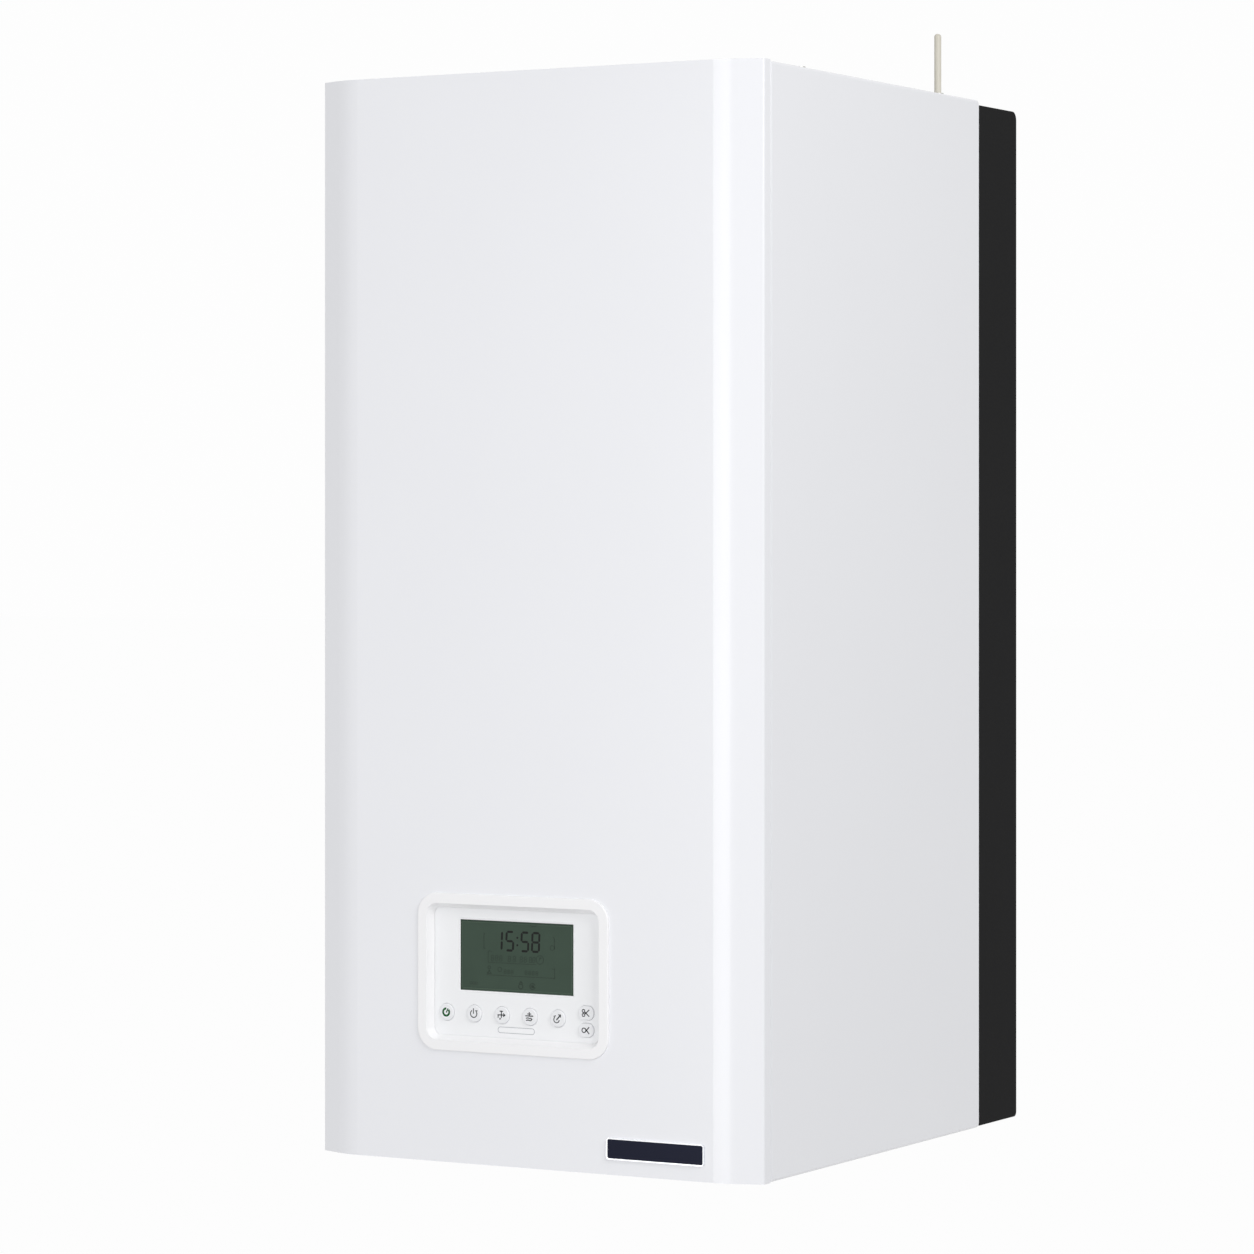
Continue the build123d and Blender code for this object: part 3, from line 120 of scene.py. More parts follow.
# A surface with two close tones, uneven gloss and a fine relief, all at real scale
def finish(name, look):
    material, tree = newMaterial(name)
    place = add(tree, "ShaderNodeTexCoord").outputs["Object"]
    grainPlace = place
    if "stretch" in look:  # drawn and brushed metal shows its grain along one axis
        stretched = add(tree, "ShaderNodeMapping", {"Scale": look["stretch"]}, {"Vector": place})
        grainPlace = stretched.outputs[0]
    grainScale = 1 / (look["grain"] * mm)
    cloudScale = 1 / (look["cloud"] * mm)
    grain = add(tree, "ShaderNodeTexNoise", {"Scale": grainScale, "Detail": noiseDetail["grain"]},
                {"Vector": grainPlace}).outputs["Fac"]
    if look.get("cells") == "tone":  # crystals, each with its own tone
        crystals = add(tree, "ShaderNodeTexVoronoi", {"Scale": cloudScale}, {"Vector": place})
        cloud = add(tree, "ShaderNodeSeparateColor", {}, {"Color": crystals.outputs["Color"]}).outputs[0]
    else:
        cloud = add(tree, "ShaderNodeTexNoise", {"Scale": cloudScale, "Detail": noiseDetail["cloud"]},
                    {"Vector": place}).outputs["Fac"]
    height = grain
    if look.get("cells") == "relief":  # open pores
        pores = add(tree, "ShaderNodeTexVoronoi", {"Scale": grainScale}, {"Vector": place})
        height = pores.outputs["Distance"]
    tone = twoTones(tree, look, cloud)
    rough, ease = look["rough"], look["roughSpread"]
    gloss = add(tree, "ShaderNodeMapRange", {"To Min": rough - ease, "To Max": rough + ease},
                {"Value": grain})
    relief = add(tree, "ShaderNodeBump", {"Strength": look["relief"], "Distance": look["depth"] * mm},
                 {"Height": height})
    shader = add(tree, "ShaderNodeBsdfPrincipled", look.get("sockets", {}),
                 {"Base Color": tone, "Roughness": gloss.outputs[0], "Normal": relief.outputs[0]})
    add(tree, "ShaderNodeOutputMaterial", {}, {"Surface": shader.outputs[0]})
    return material


# Grain is the spacing of the fine relief in millimetres, cloud that of the slow change of tone
finishes = {
    # Polyester powder coat on steel, sprayed and baked: satin white, a clear skin, a faint orange peel
    "whitePowderCoat": {
        "slot": "white_panel", "colour": "#f5f6fa", "second": "#f3f4f8", "grain": 2.2, "cloud": 160,
        "rough": 0.34, "roughSpread": 0.03, "relief": 0.05, "depth": 0.05,
        "sockets": {"Coat Weight": 0.6, "Coat Roughness": 0.14}},
    # The same coat in black on the wall frame: almost no sheen, so the folds hardly show
    "blackPowderCoat": {
        "slot": "black_frame", "colour": "#101011", "second": "#141415", "grain": 1.8, "cloud": 90,
        "rough": 0.52, "roughSpread": 0.06, "relief": 0.2, "depth": 0.08,
        "sockets": {"Specular IOR Level": 0.04}},
    # Moulded ABS, lightly spark-eroded tool: a softer and whiter gloss than the coat
    "mouldedAbs": {
        "slot": "white_plastic", "colour": "#fdfdfe", "second": "#fbfbfd", "grain": 0.8, "cloud": 60,
        "rough": 0.3, "roughSpread": 0.04, "relief": 0.08, "depth": 0.03},
    # The fascia's ABS comes from a finer tool: matt, a touch cooler
    "satinAbs": {
        "slot": "fascia_plastic", "colour": "#f9fafc", "second": "#f7f8fa", "grain": 0.8, "cloud": 50,
        "rough": 0.36, "roughSpread": 0.04, "relief": 0.08, "depth": 0.03},
    # Cast acrylic, back-painted navy and polished: dark, with a clear hard gloss
    "polishedAcrylic": {
        "slot": "badge_gloss", "colour": "#191d32", "second": "#14182a", "grain": 6, "cloud": 40,
        "rough": 0.12, "roughSpread": 0.02, "relief": 0.02, "depth": 0.02,
        "sockets": {"IOR": 1.49, "Specular IOR Level": 0.14}},
    # Moulded silicone caps: pale, soft-edged and slightly greasy in their gloss
    "siliconeRubber": {
        "slot": "button_plastic", "colour": "#f4f5f7", "second": "#f0f1f4", "grain": 1.2, "cloud": 12,
        "rough": 0.4, "roughSpread": 0.05, "relief": 0.1, "depth": 0.03, "sockets": {"IOR": 1.41}},
    # Moulded polyamide, yellowed like ivory, with a dull skin
    "ivoryPolyamide": {
        "slot": "antenna_cream", "colour": "#dedacd", "second": "#d9d4c6", "grain": 1.5, "cloud": 30,
        "rough": 0.45, "roughSpread": 0.05, "relief": 0.1, "depth": 0.04, "sockets": {"IOR": 1.53}},
    # Hot-dip zinc on steel: broad pale crystals, each with its own grey
    "hotDipZinc": {
        "slot": "galvanised", "colour": "#bcbfc1", "second": "#9ba0a4", "grain": 4, "cloud": 9,
        "cells": "tone",
        "rough": 0.42, "roughSpread": 0.08, "relief": 0.05, "depth": 0.05, "sockets": {"Metallic": 1}},
    # Bright zinc plate on screws: small and a little warm from its passivation
    "zincPlatedSteel": {
        "slot": "screw_steel", "colour": "#c8c8c3", "second": "#b2b3b0", "grain": 1, "cloud": 6,
        "rough": 0.3, "roughSpread": 0.08, "relief": 0.1, "depth": 0.03, "sockets": {"Metallic": 1}},
    # Drawn stainless tube: long fine lines along the tube
    "drawnStainless": {
        "slot": "stainless", "colour": "#c4c3c0", "second": "#b1b0ae", "grain": 1.5, "cloud": 30,
        "stretch": (1, 1, 0.08),
        "rough": 0.28, "roughSpread": 0.09, "relief": 0.08, "depth": 0.03, "sockets": {"Metallic": 1}},
    # Sand-cast and die-cast aluminium: dull grey with a pebbled skin
    "castAluminium": {
        "slot": "cast_aluminium", "colour": "#acadae", "second": "#989a9c", "grain": 1.6, "cloud": 25,
        "rough": 0.5, "roughSpread": 0.08, "relief": 0.4, "depth": 0.12, "sockets": {"Metallic": 1}},
    # Spun aluminium shell: rings from the spinning tool, so the sheen runs round it
    "spunAluminium": {
        "slot": "exchanger_metal", "colour": "#b9babb", "second": "#a6a8aa", "grain": 2, "cloud": 50,
        "stretch": (0.1, 1, 0.1),
        "rough": 0.38, "roughSpread": 0.09, "relief": 0.15, "depth": 0.06, "sockets": {"Metallic": 1}},
    # Drawn copper tube, handled and heated, so it is browner in patches
    "drawnCopper": {
        "slot": "copper", "colour": "#cf9068", "second": "#a5633c", "grain": 1.5, "cloud": 28,
        "stretch": (1, 1, 0.1),
        "rough": 0.3, "roughSpread": 0.1, "relief": 0.05, "depth": 0.03, "sockets": {"Metallic": 1}},
    # Hot-pressed and turned brass, lightly dulled
    "pressedBrass": {
        "slot": "brass", "colour": "#cfab62", "second": "#ad8841", "grain": 1.2, "cloud": 14,
        "rough": 0.32, "roughSpread": 0.1, "relief": 0.12, "depth": 0.04, "sockets": {"Metallic": 1}},
    # Cast iron under black paint: a coarse sand skin that still shows
    "paintedCastIron": {
        "slot": "cast_iron", "colour": "#2c2e31", "second": "#24262a", "grain": 1.4, "cloud": 20,
        "rough": 0.6, "roughSpread": 0.08, "relief": 0.5, "depth": 0.15,
        "sockets": {"Specular IOR Level": 0.35}},
    # Glass-filled nylon, moulded black: a dry, slightly mottled surface
    "glassFilledNylon": {
        "slot": "black_plastic", "colour": "#1c1d1f", "second": "#242528", "grain": 0.9, "cloud": 20,
        "rough": 0.52, "roughSpread": 0.08, "relief": 0.25, "depth": 0.04,
        "sockets": {"Specular IOR Level": 0.3}},
    # Moulded polypropylene: waxy mid grey
    "greyPolypropylene": {
        "slot": "grey_plastic", "colour": "#7d8084", "second": "#74777b", "grain": 0.9, "cloud": 30,
        "rough": 0.48, "roughSpread": 0.06, "relief": 0.2, "depth": 0.04},
    # Moulded nitrile rubber: no gloss, a soft bloom of grey
    "nitrileRubber": {
        "slot": "black_rubber", "colour": "#1f1f20", "second": "#2b2b2c", "grain": 1.1, "cloud": 12,
        "rough": 0.8, "roughSpread": 0.06, "relief": 0.3, "depth": 0.06,
        "sockets": {"Specular IOR Level": 0.25}},
    # Closed-cell foam strip: skin of tiny pores, drawn at 1.2 mm so that they show
    "closedCellFoam": {
        "slot": "seal_rubber", "colour": "#29292b", "second": "#353537", "grain": 1.2, "cloud": 8,
        "cells": "relief",
        "rough": 0.9, "roughSpread": 0.04, "relief": 0.6, "depth": 0.2,
        "sockets": {"Specular IOR Level": 0.2}},
    # Glazed alumina on the electrodes: off-white with a wet glaze
    "glazedAlumina": {
        "slot": "ceramic_white", "colour": "#ece7dc", "second": "#e2dccf", "grain": 1.5, "cloud": 8,
        "rough": 0.2, "roughSpread": 0.05, "relief": 0.1, "depth": 0.03, "sockets": {"IOR": 1.6}},
    # Green solder mask over copper tracks: the tracks show as darker and lighter islands
    "solderMask": {
        "slot": "board_green", "colour": "#24753f", "second": "#175129", "grain": 2.5, "cloud": 5,
        "cells": "tone",
        "rough": 0.32, "roughSpread": 0.06, "relief": 0.2, "depth": 0.05},
    # Red enamel sprayed on the pressed vessel: wet gloss over a slight peel
    "redEnamel": {
        "slot": "vessel_red", "colour": "#9d1f1a", "second": "#8b1b17", "grain": 2.4, "cloud": 70,
        "rough": 0.32, "roughSpread": 0.05, "relief": 0.12, "depth": 0.06, "sockets": {"Coat Weight": 0.4}},
    # Acetal knob, moulded red: slippery and even
    "redAcetal": {
        "slot": "knob_red", "colour": "#c0251e", "second": "#b3211b", "grain": 1.1, "cloud": 8,
        "rough": 0.36, "roughSpread": 0.04, "relief": 0.1, "depth": 0.03, "sockets": {"IOR": 1.48}},
    # Yellow epoxy coat on the gas pipe
    "yellowEpoxy": {
        "slot": "gas_pipe", "colour": "#d8a91e", "second": "#c99b19", "grain": 1.8, "cloud": 25,
        "rough": 0.42, "roughSpread": 0.06, "relief": 0.15, "depth": 0.05},
    # Vinyl-dipped lever handles: thick soft skin in the colour of each pipe
    "blackVinyl": {
        "slot": "lever_metal", "colour": "#2a2b2e", "second": "#333438", "grain": 1.2, "cloud": 10,
        "rough": 0.42, "roughSpread": 0.06, "relief": 0.15, "depth": 0.04,
        "sockets": {"Specular IOR Level": 0.4}},
    "blueVinyl": {
        "slot": "lever_blue", "colour": "#1e4fa0", "second": "#1b4892", "grain": 1.2, "cloud": 10,
        "rough": 0.42, "roughSpread": 0.06, "relief": 0.15, "depth": 0.04},
    "yellowVinyl": {
        "slot": "lever_yellow", "colour": "#e2b21d", "second": "#d4a51a", "grain": 1.2, "cloud": 10,
        "rough": 0.42, "roughSpread": 0.06, "relief": 0.15, "depth": 0.04},
    # Screen-printed ink, slate and green: thin, matt, with a slightly broken edge tone
    "slateInk": {
        "slot": "button_plastic", "colour": "#33363a", "second": "#2c2f33", "grain": 0.6, "cloud": 4,
        "rough": 0.5, "roughSpread": 0.04, "relief": 0.05, "depth": 0.01,
        "sockets": {"Specular IOR Level": 0.25}},
    "greenInk": {
        "slot": "button_plastic", "colour": "#135a2c", "second": "#0f4f26", "grain": 0.6, "cloud": 4,
        "rough": 0.5, "roughSpread": 0.04, "relief": 0.05, "depth": 0.01,
        "sockets": {"Specular IOR Level": 0.25}},
    "greyInk": {
        "slot": "fascia_plastic", "colour": "#b4b6bb", "second": "#aeb0b6", "grain": 0.6, "cloud": 4,
        "rough": 0.5, "roughSpread": 0.04, "relief": 0.05, "depth": 0.01},
    # Liquid crystal under its cover: driven segments are nearly black, resting ones hardly show
    "drivenCrystal": {
        "slot": "lcd_window", "colour": "#0d110d", "second": "#0a0e0b", "grain": 0.6, "cloud": 4,
        "rough": 0.4, "roughSpread": 0.03, "relief": 0.02, "depth": 0.01,
        "sockets": {"Specular IOR Level": 0.16}},
    "restingCrystal": {
        "slot": "lcd_window", "colour": "#2e3c32", "second": "#2a372e", "grain": 0.6, "cloud": 4,
        "rough": 0.4, "roughSpread": 0.03, "relief": 0.02, "depth": 0.01,
        "sockets": {"Specular IOR Level": 0.16}},
    "crystalEdge": {
        "slot": "lcd_window", "colour": "#4c5f51", "second": "#485a4d", "grain": 0.6, "cloud": 4,
        "rough": 0.4, "roughSpread": 0.03, "relief": 0.02, "depth": 0.01,
        "sockets": {"Specular IOR Level": 0.16}},
    # Polished edge of the moulding round the window, which catches the lamps
    "polishedAbs": {
        "slot": "fascia_plastic", "colour": "#fbfbfd", "second": "#f8f8fb", "grain": 1.5, "cloud": 30,
        "rough": 0.15, "roughSpread": 0.03, "relief": 0.03, "depth": 0.01},
    # Satin chrome on the badge's rim: bright and cool
    "satinChrome": {
        "slot": "badge_gloss", "colour": "#f2f3f6", "second": "#e6e8ec", "grain": 0.8, "cloud": 12,
        "rough": 0.25, "roughSpread": 0.04, "relief": 0.05, "depth": 0.01, "sockets": {"Metallic": 1}},
}

# The display: clear acrylic over grey-green liquid crystal, shaded at its top and left by the fascia's edge
lcdLook = {
    "name": "liquidCrystalGlass",
    "colour": "#3b4b40",
    "second": "#415246",
    "shade": "#26302a",
    "shadeWidth": 3.2,
    "shadeOver": 1 / 3,
    "cloud": 30,
    "gloss": {"Roughness": 0.12, "IOR": 1.49, "Specular IOR Level": 0.16},
}


def displayWindow(look):
    material, tree = newMaterial(look["name"])
    low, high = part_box("lcd_window")
    place = add(tree, "ShaderNodeTexCoord").outputs["Object"]
    axes = add(tree, "ShaderNodeSeparateXYZ", {}, {"Vector": place})
    reach = look["shadeWidth"] * mm
    over = reach * look["shadeOver"]
    fades = []
    for axis, start, end in (("X", low[0] - over, low[0] + reach), ("Z", high[2] + over, high[2] - reach)):
        fade = add(tree, "ShaderNodeMapRange",
                   {"interpolation_type": "SMOOTHSTEP", "From Min": start, "From Max": end},
                   {"Value": axes.outputs[axis]})
        fades.append(fade.outputs[0])
    both = add(tree, "ShaderNodeMath", {"operation": "MULTIPLY"}, dict(enumerate(fades)))
    cloudScale = 1 / (look["cloud"] * mm)
    cloud = add(tree, "ShaderNodeTexNoise", {"Scale": cloudScale, "Detail": noiseDetail["display"]},
                {"Vector": place})
    panel = twoTones(tree, look, cloud.outputs["Fac"])
    shaded = add(tree, "ShaderNodeMix", {"data_type": "RGBA", 6: linear(look["shade"])},
                 {0: both.outputs[0], 7: panel})
    shader = add(tree, "ShaderNodeBsdfPrincipled", look["gloss"], {"Base Color": shaded.outputs[2]})
    add(tree, "ShaderNodeOutputMaterial", {}, {"Surface": shader.outputs[0]})
    return material


materials = {name: finish(name, look) for name, look in finishes.items()}
slotMaterial = {"lcd_window": displayWindow(lcdLook)}
for name, look in finishes.items():
    slotMaterial.setdefault(look["slot"], materials[name])
slotOf = {part["node"]: part["material_slot"] for part in frame["record"]["subparts"]}
for name, solid in nodes.items():
    material = slotMaterial[slotOf[name]]
    for holder in solid.material_slots:
        holder.material = material
    if not solid.material_slots:
        solid.data.materials.append(material)
print("finishes on", len(nodes), "nodes")


def newPiece(name, mesh, material, body):
    data = bpy.data.meshes.new(name)
    mesh.to_mesh(data)
    mesh.free()
    made = bpy.data.objects.new(name, data)
    data.materials.append(materials[material])
    bpy.context.collection.objects.link(made)
    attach(made, body)


# Builds a thin raised print from outlines in millimetres on a plate that faces the front
def printed(name, outlines, centre, y, height, material, body):
    mesh = bmesh.new()
    for outline in outlines:
        face = [mesh.verts.new((centre[0] + x * mm, y, centre[1] + z * mm)) for x, z in outline]
        back = [mesh.verts.new((v.co.x, y + height, v.co.z)) for v in face]
        mesh.faces.new(face)
        mesh.faces.new(list(reversed(back)))
        for at in range(len(face)):
            following = (at + 1) % len(face)
            mesh.faces.new((face[at], back[at], back[following], face[following]))
    bmesh.ops.recalc_face_normals(mesh, faces=mesh.faces)
    newPiece(name, mesh, material, body)


# A line of even width through points, open or closed, as one outline for each run
def line(points, width, closed=False):
    count = len(points)
    runs = []
    for at in range(count if closed else count - 1):
        a = Vector(points[at])
        b = Vector(points[(at + 1) % count])
        along = (b - a).normalized() * width / 2
        across = Vector((-along.y, along.x))
        corners = (a - along + across, a - along - across, b + along - across, b + along + across)
        runs.append([tuple(corner) for corner in corners])
    return runs


def arc(radius, start, end, steps=20, centre=(0, 0)):
    turns = [radians(start + (end - start) * step / steps) for step in range(steps + 1)]
    return [(centre[0] + radius * cos(turn), centre[1] + radius * sin(turn)) for turn in turns]


# A flat arc of even width, as one outline
def band(radius, width, start=0, end=360, steps=28, centre=(0, 0)):
    outer = arc(radius + width / 2, start, end, steps, centre)
    inner = arc(radius - width / 2, start, end, steps, centre)
    return outer + inner[::-1]


# A round dot, as one outline
def dot(radius, centre, sides=24):
    return arc(radius, 0, 360 - 360 / sides, sides - 1, centre)


def roundedLoop(width, height, radius, steps=8):
    loop = []
    for side, end, start in ((1, 1, 0), (-1, 1, 90), (-1, -1, 180), (1, -1, 270)):
        centre = (side * (width / 2 - radius), end * (height / 2 - radius))
        loop += arc(radius, start, start + 90, steps, centre)
    return loop


sharpestCorner = 0.2


# A frame between two rounded outlines at their own depths, with a flat back
def frameRing(name, look, centre, material, body):
    outer = roundedLoop(look["width"], look["height"], look["radius"])
    inset = look["border"]
    innerRadius = max(look["radius"] - inset, sharpestCorner)
    inner = roundedLoop(look["width"] - 2 * inset, look["height"] - 2 * inset, innerRadius)
    mesh = bmesh.new()
    rows = []
    loops = (outer, outer, inner, inner)
    depths = (look["back"], look["front"], look["innerFront"], look["back"])
    for loop, y in zip(loops, depths):
        rows.append([mesh.verts.new((centre[0] + x * mm, y, centre[1] + z * mm)) for x, z in loop])
    for row, near in enumerate(rows):
        far = rows[(row + 1) % len(rows)]
        for at in range(len(near)):
            following = (at + 1) % len(near)
            mesh.faces.new((near[at], near[following], far[following], far[at]))
    bmesh.ops.recalc_face_normals(mesh, faces=mesh.faces)
    newPiece(name, mesh, material, body)


# Middle of a node seen from the front, in metres
def middle(node):
    low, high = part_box(node)
    return ((low[0] + high[0]) / 2, (low[2] + high[2]) / 2)


# Width and height of a node seen from the front, in millimetres
def spread(node):
    low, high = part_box(node)
    return ((high[0] - low[0]) / mm, (high[2] - low[2]) / mm)


# All print, in millimetres: how far its face stands off the plate, its thickness, and how much further the
# heavier signs stand out
ink = {"lift": 0.06, "height": 0.05, "markLift": 0.02}

# Four driven figures of seven segments that show a time
clock = {
    "figures": "1558",
    "figureWidth": 6.9,
    "figureHeight": 16.1,
    "stroke": 1.9,
    "gapShare": 0.12,
    "slant": 0.04,
    "lefts": (-22.15, -10.65, 4.5, 15.3),
    "low": 5.6,
    "colonAt": 0.7,
    "dotRadius": 0.9,
    "dotShares": (0.3, 0.7),
}
segments = {"1": "bc", "5": "afgcd", "8": "abcdefg"}


# One figure of seven segments, each an outline with pointed ends
def figure(digit, left, look):
    w, h, low = look["figureWidth"], look["figureHeight"], look["low"]
    half = look["stroke"] / 2
    gap = look["stroke"] * look["gapShare"]
    ends = {
        "a": ((0, h), (w, h)), "b": ((w, h), (w, h / 2)), "c": ((w, h / 2), (w, 0)), "d": ((0, 0), (w, 0)),
        "e": ((0, h / 2), (0, 0)), "f": ((0, h), (0, h / 2)), "g": ((0, h / 2), (w, h / 2)),
    }
    outlines = []
    for name in segments[digit]:
        a, b = (Vector(end) for end in ends[name])
        along = (b - a).normalized()
        across = Vector((-along.y, along.x)) * half
        a, b = a + along * gap, b - along * gap
        cut = along * half
        shape = [a, a + cut + across, b - cut + across, b, b - cut - across, a + cut - across]
        outlines.append([(left + p.x + look["slant"] * p.y, low + p.y) for p in shape])
    return outlines


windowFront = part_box("lcd_window")[0][1]
windowWidth, windowHeight = spread("lcd_window")
windowCentre = middle("lcd_window")
windowY = windowFront - ink["lift"] * mm
inkHeight = ink["height"] * mm
driven = []
for digit, left in zip(clock["figures"], clock["lefts"]):
    driven += figure(digit, left, clock)
for share in clock["dotShares"]:
    driven.append(dot(clock["dotRadius"], (clock["colonAt"], clock["low"] + share * clock["figureHeight"])))
printed("display_time", driven, windowCentre, windowY, inkHeight, "drivenCrystal", "chassis")

# Resting segments: two rows of small figures with open boxes, brackets beside the time, and small signs
ghostRows = (
    {"figureWidth": 2.3, "figureHeight": 4.6, "stroke": 0.55, "gapShare": 0.12, "slant": 0.04, "low": -3.9,
     "lefts": (-25.6, -21.4, -17.2, -8.6, -3.6, 3.4, 7.6, 12.6, 16)},
    {"figureWidth": 1.9, "figureHeight": 3.4, "stroke": 0.55, "gapShare": 0.12, "slant": 0.04, "low": -14.6,
     "lefts": (-12.6, -9, -5.6, 8.4, 12, 15.6, 19.2)},
)
# Width of the stroke, then the points
ghostLines = (
    (0.45, ((-27.2, 4.4), (-28.7, 3.9), (-28.7, -5.5), (19.2, -5.5))),  # box of the upper row
    (0.45, ((-27.2, 4.4), (-24.6, 3.4))),
    (0.45, ((-30, -16.4), (38, -16.4), (38, -8.4), (35.4, -8.4))),  # box of the lower row
    (0.5, ((-31.8, 19), (-33, 19), (-33, 6.4), (-31.8, 6.4))),  # brackets beside the time
    (0.5, ((36.6, 19), (37.8, 17), (37.8, 9))),
    (0.45, ((13.6, 28.4), (15.2, 27.4), (18.6, 27.4), (20, 28.4))),  # cap over the time
)
ghostTriangle = (0.6, ((-29.5, -15), (-27.6, -12.6), (-25.7, -15)))
# Radius, width of the stroke and middle
ghostRings = (
    (1.9, 0.6, (-17, -11.2)), (1.3, 0.6, (-27.6, -9.9)), (2.1, 0.5, (35.6, 9.6)),
    (1.1, 0.45, (-46, -24.2)), (1.1, 0.45, (-43.4, -24.2)), (1.1, 0.45, (-40.8, -24.2)),
)
resting = []
for row in ghostRows:
    for left in row["lefts"]:
        resting += figure("8", left, row)
for width, points in ghostLines:
    resting += line(points, width)
resting += line(ghostTriangle[1], ghostTriangle[0], True)
for radius, width, centre in ghostRings:
    resting.append(band(radius, width, centre=centre))
printed("display_resting", resting, windowCentre, windowY, inkHeight, "restingCrystal", "chassis")

# Signs with a heavier stroke: a dial at the end of the upper row and two signs at the bottom
marks = [band(3.7, 0.55, centre=(23.3, -1.2))] + line([(22.4, -2.2), (23.3, 0.6), (24.6, 0)], 0.6)
marks += [band(2.1, 0.8, centre=(4.1, -25))] + line([(2.6, -22.4), (4.3, -20.9), (5.8, -22.4)], 0.75)
marks += [band(2.5, 0.8, 20, 330, centre=(15.8, -24.4)), band(0.9, 0.8, centre=(15.8, -24.4))]
marks += line([(15.8, -24.4), (18.8, -25.6)], 0.6)
marksY = windowY - ink["markLift"] * mm
printed("display_signs", marks, windowCentre, marksY, inkHeight, "restingCrystal", "chassis")

# The liquid crystal's own border shows as a paler hairline inside the window
borderInset = 2.4
crystalBorder = {
    "width": windowWidth - 2 * borderInset,
    "height": windowHeight - 2 * borderInset,
    "radius": 0.6,
    "border": 0.3,
    "front": windowY,
    "innerFront": windowY,
    "back": windowFront - 0.01 * mm,
}
frameRing("display_border", crystalBorder, windowCentre, "crystalEdge", "chassis")
print("display printed")

# The bright sloped edge round the window
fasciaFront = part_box("control_fascia")[0][1]
edgeReach = 0.9
windowEdge = {
    "width": windowWidth + 2 * edgeReach,
    "height": windowHeight + 2 * edgeReach,
    "radius": 1.6,
    "border": 1.5,
    "front": fasciaFront - 0.25 * mm,
    "innerFront": windowFront - 0.1 * mm,
    "back": windowFront - 0.02 * mm,
}
frameRing("display_edge", windowEdge, windowCentre, "polishedAbs", "chassis")

# A bare outline stands under the buttons
pill = {
    "width": 37,
    "height": 5.5,
    "radius": 2.6,
    "border": 0.5,
    "drop": 48.4,
    "front": fasciaFront - 0.08 * mm,
    "innerFront": fasciaFront - 0.08 * mm,
    "back": fasciaFront - 0.01 * mm,
}
fasciaX, fasciaZ = middle("control_fascia")
frameRing("fascia_outline", pill, (fasciaX, fasciaZ - pill["drop"] * mm), "greyInk", "chassis")

# The badge's bright rim
badgeLow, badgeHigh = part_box("badge_plate")
badgeWidth, badgeHeight = spread("badge_plate")
rimReach = 0.25
badgeRim = {
    "width": badgeWidth + 2 * rimReach,
    "height": badgeHeight + 2 * rimReach,
    "radius": 2.8,
    "border": 1.1,
    "front": badgeLow[1] - 0.1 * mm,
    "innerFront": badgeLow[1] - 0.05 * mm,
    "back": badgeHigh[1],
}
frameRing("badge_rim", badgeRim, middle("badge_plate"), "satinChrome", "facade_cover")
print("trims fitted")

# Button print: its ink, and its outlines in millimetres from the button's middle
signs = {
    # heating on: an open ring with a bar, in green
    "button_1": ("greenInk", [band(3.1, 1.8, 88, 402)] + line([(0.3, 0), (1.7, 2.7)], 1.1)),
    # stand-by
    "button_2": ("slateInk", [band(3.2, 0.85, 122, 402)] + line([(-0.2, 0.4), (-0.2, 4.2)], 0.85)
                 + line([(2, 2.6), (3.5, 2.6)], 0.8)),
    # tap water: a tap with a drop
    "button_3": ("slateInk", line([(0, 3.6), (0, -1.6)], 0.95) + line([(-3.4, 0.3), (3.5, 0.3)], 0.95)
                 + line([(-1.3, 3.6), (1.3, 3.6)], 0.85) + line([(-3.3, 0.3), (-3.3, -1.8)], 0.85)
                 + line([(2.1, 1.5), (3.5, 0.3), (2.1, -0.9)], 0.8)
                 + [[(-1.9, -2), (-0.1, -3), (-1.9, -4)]]),
    # room heating: a bar over two waves
    "button_4": ("slateInk", line([(0, 3.8), (0, 0.8)], 0.9) + line([(-3.4, 0.9), (3.4, 0.9)], 0.95)
                 + line([(-1.5, 2.6), (1.5, 2.6)], 0.8)
                 + line([(-3, -1.1), (-1.2, -0.8), (0.8, -1.3)], 0.85)
                 + line([(-2.8, -3), (-1.2, -2.6), (0.6, -3.1)], 0.85)
                 + line([(1.6, -0.9), (2.7, -1.9), (1.5, -3)], 0.8)),
    # dial with a slanting hand
    "button_5": ("slateInk", [band(2.7, 0.85, 128, 352, centre=(-0.8, -0.8))]
                 + line([(-0.6, -0.9), (3, 3.2)], 1.1) + line([(1.2, 3.4), (3.1, 3.3), (3.1, 1.6)], 0.8)
                 + line([(-3.3, 2), (-1.8, 2.4)], 0.8)),
    # two rings on crossed lines
    "key_upper": ("slateInk", [band(1.3, 0.8, centre=(-2.1, 1.7)), band(1.3, 0.8, centre=(-2.1, -1.7))]
                  + line([(-0.9, 1), (3.2, -2.6)], 0.9) + line([(-0.9, -1), (3.2, 2.6)], 0.9)),
    # one ring on crossed lines
    "key_lower": ("slateInk", [band(1.9, 0.85, centre=(-1.7, 0))] + line([(-0.1, 1.1), (3.2, -2.6)], 0.9)
                  + line([(-0.1, -1.1), (3.2, 2.6)], 0.9)),
}
for name, (colour, outlines) in signs.items():
    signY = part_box(name)[0][1] - ink["lift"] * mm
    printed(f"{name}_sign", outlines, middle(name), signY, inkHeight, colour, f"{name}_cap")
print("buttons printed")


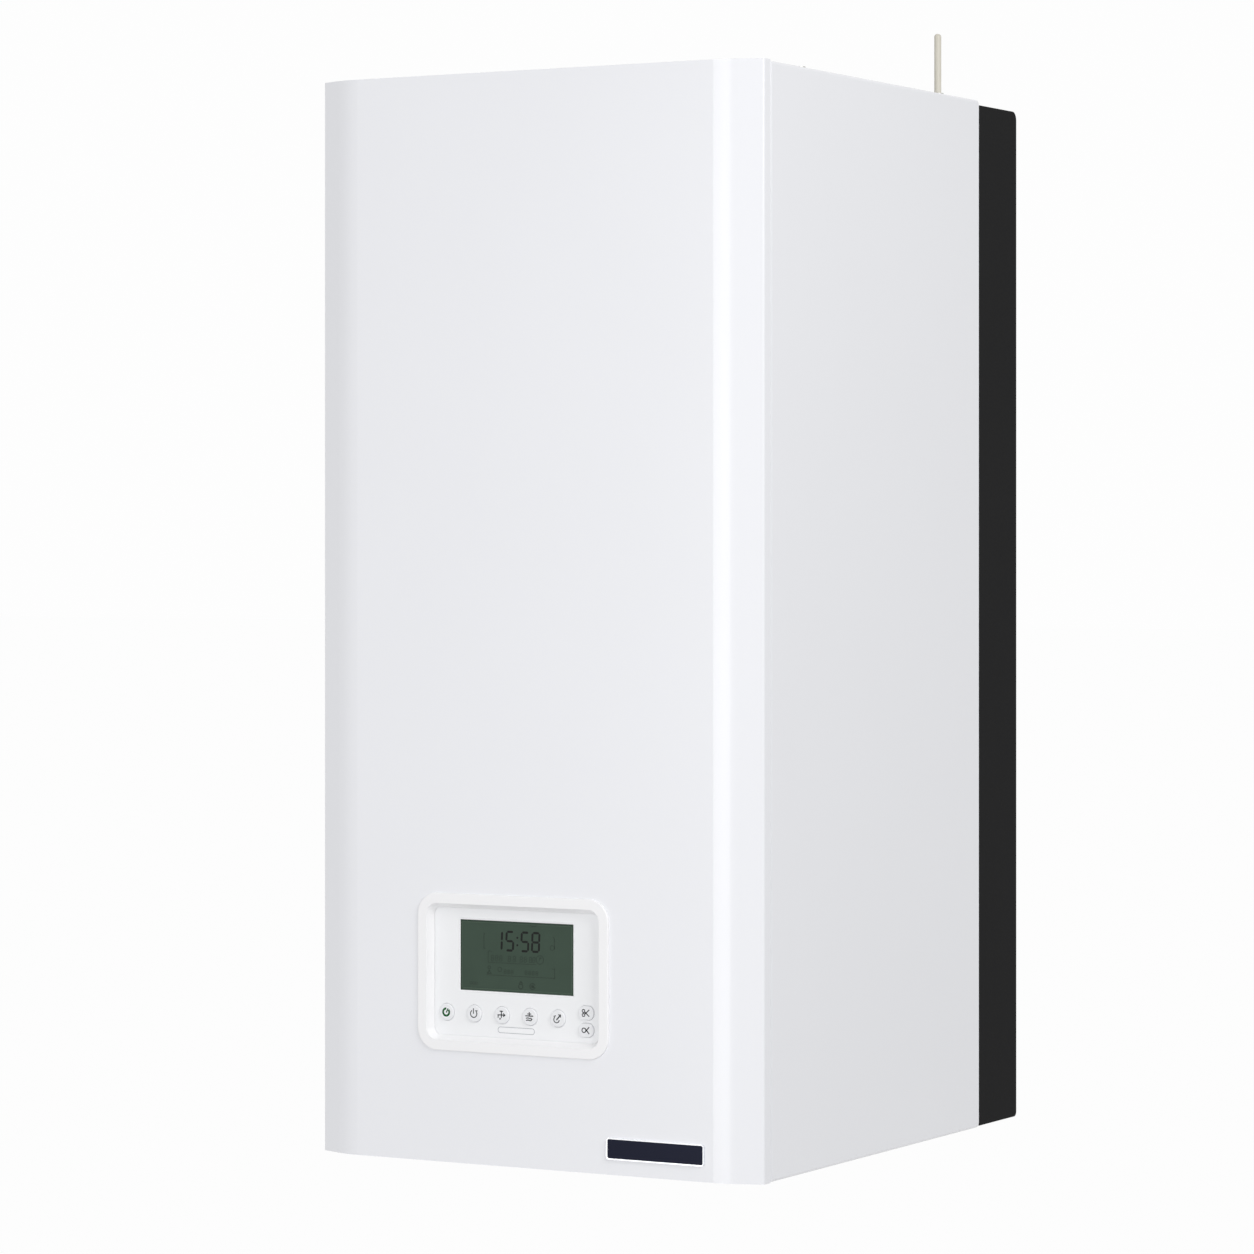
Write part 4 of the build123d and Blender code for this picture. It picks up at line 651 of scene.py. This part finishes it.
# Light: a pale open studio, a strip lamp straight ahead whose gloss runs down the right bend, and a soft
# key from the right. The floor is as far below as under a boiler that hangs on its wall.
studio = {
    "ambient": 0.475,
    "white": 0.985,
    "floorDrop": 1.4,
    "floorSize": 160,
    "floorPaint": 0.8,
    "floorWhite": 0.97,
}
lamps = {
    "stripLamp": {
        "place": (-0.6, -4.0, -0.45), "aim": (-0.05, -0.5, -0.45), "size": (1.8, 2.0), "power": 33},
    "keyLamp": {
        "place": (2.6, -1.75, 1.0), "aim": (0, -0.45, -0.3), "size": (1.6, 1.6), "power": 43.5},
}


# 1 for a ray from the camera, from gloss or through glass, and 0 for any other
def seenRay(tree):
    ray = add(tree, "ShaderNodeLightPath").outputs
    seen = add(tree, "ShaderNodeMath", {"operation": "MAXIMUM"},
               {0: ray["Is Camera Ray"], 1: ray["Is Glossy Ray"]})
    clear = add(tree, "ShaderNodeMath", {"operation": "MAXIMUM"},
                {0: seen.outputs[0], 1: ray["Is Transmission Ray"]})
    return clear.outputs[0]


def studioWorld(look):
    world = bpy.data.worlds.new("studio")
    bpy.context.scene.world = world
    world.use_nodes = True
    tree = world.node_tree
    tree.nodes.clear()
    level = add(tree, "ShaderNodeMapRange", {"To Min": look["ambient"], "To Max": look["white"]},
                {"Value": seenRay(tree)})
    light = add(tree, "ShaderNodeBackground", {"Color": (1, 1, 1, 1)}, {"Strength": level.outputs[0]})
    add(tree, "ShaderNodeOutputWorld", {}, {"Surface": light.outputs[0]})


def softLamp(name, look):
    data = bpy.data.lights.new(name, "AREA")
    data.shape = "RECTANGLE"
    data.size, data.size_y = look["size"]
    data.energy = look["power"]
    lamp = bpy.data.objects.new(name, data)
    lamp.location = look["place"]
    aim = Vector(look["aim"]) - Vector(look["place"])
    lamp.rotation_euler = aim.to_track_quat("-Z", "Y").to_euler()
    bpy.context.collection.objects.link(lamp)


# The floor is white to the eye and to gloss, and keeps a faint shadow of the object
def paleFloor(look):
    material, tree = newMaterial("paleFloor")
    share = add(tree, "ShaderNodeMath", {"operation": "MULTIPLY", 1: look["floorWhite"]},
                {0: seenRay(tree)})
    white = add(tree, "ShaderNodeEmission", {"Color": (1, 1, 1, 1), "Strength": 1})
    grey = [look["floorPaint"]] * 3 + [1]
    paint = add(tree, "ShaderNodeBsdfDiffuse", {"Color": grey})
    mix = add(tree, "ShaderNodeMixShader", {},
              {0: share.outputs[0], 1: paint.outputs[0], 2: white.outputs[0]})
    add(tree, "ShaderNodeOutputMaterial", {}, {"Surface": mix.outputs[0]})
    mesh = bmesh.new()
    bmesh.ops.create_grid(mesh, x_segments=1, y_segments=1, size=look["floorSize"] / 2)
    data = bpy.data.meshes.new("floor")
    mesh.to_mesh(data)
    mesh.free()
    data.materials.append(material)
    floor = bpy.data.objects.new("floor", data)
    floor.location = (0, 0, cadBox[0][2] - look["floorDrop"])
    bpy.context.collection.objects.link(floor)


studioWorld(studio)
paleFloor(studio)
for name, look in lamps.items():
    softLamp(name, look)
print("studio lit")
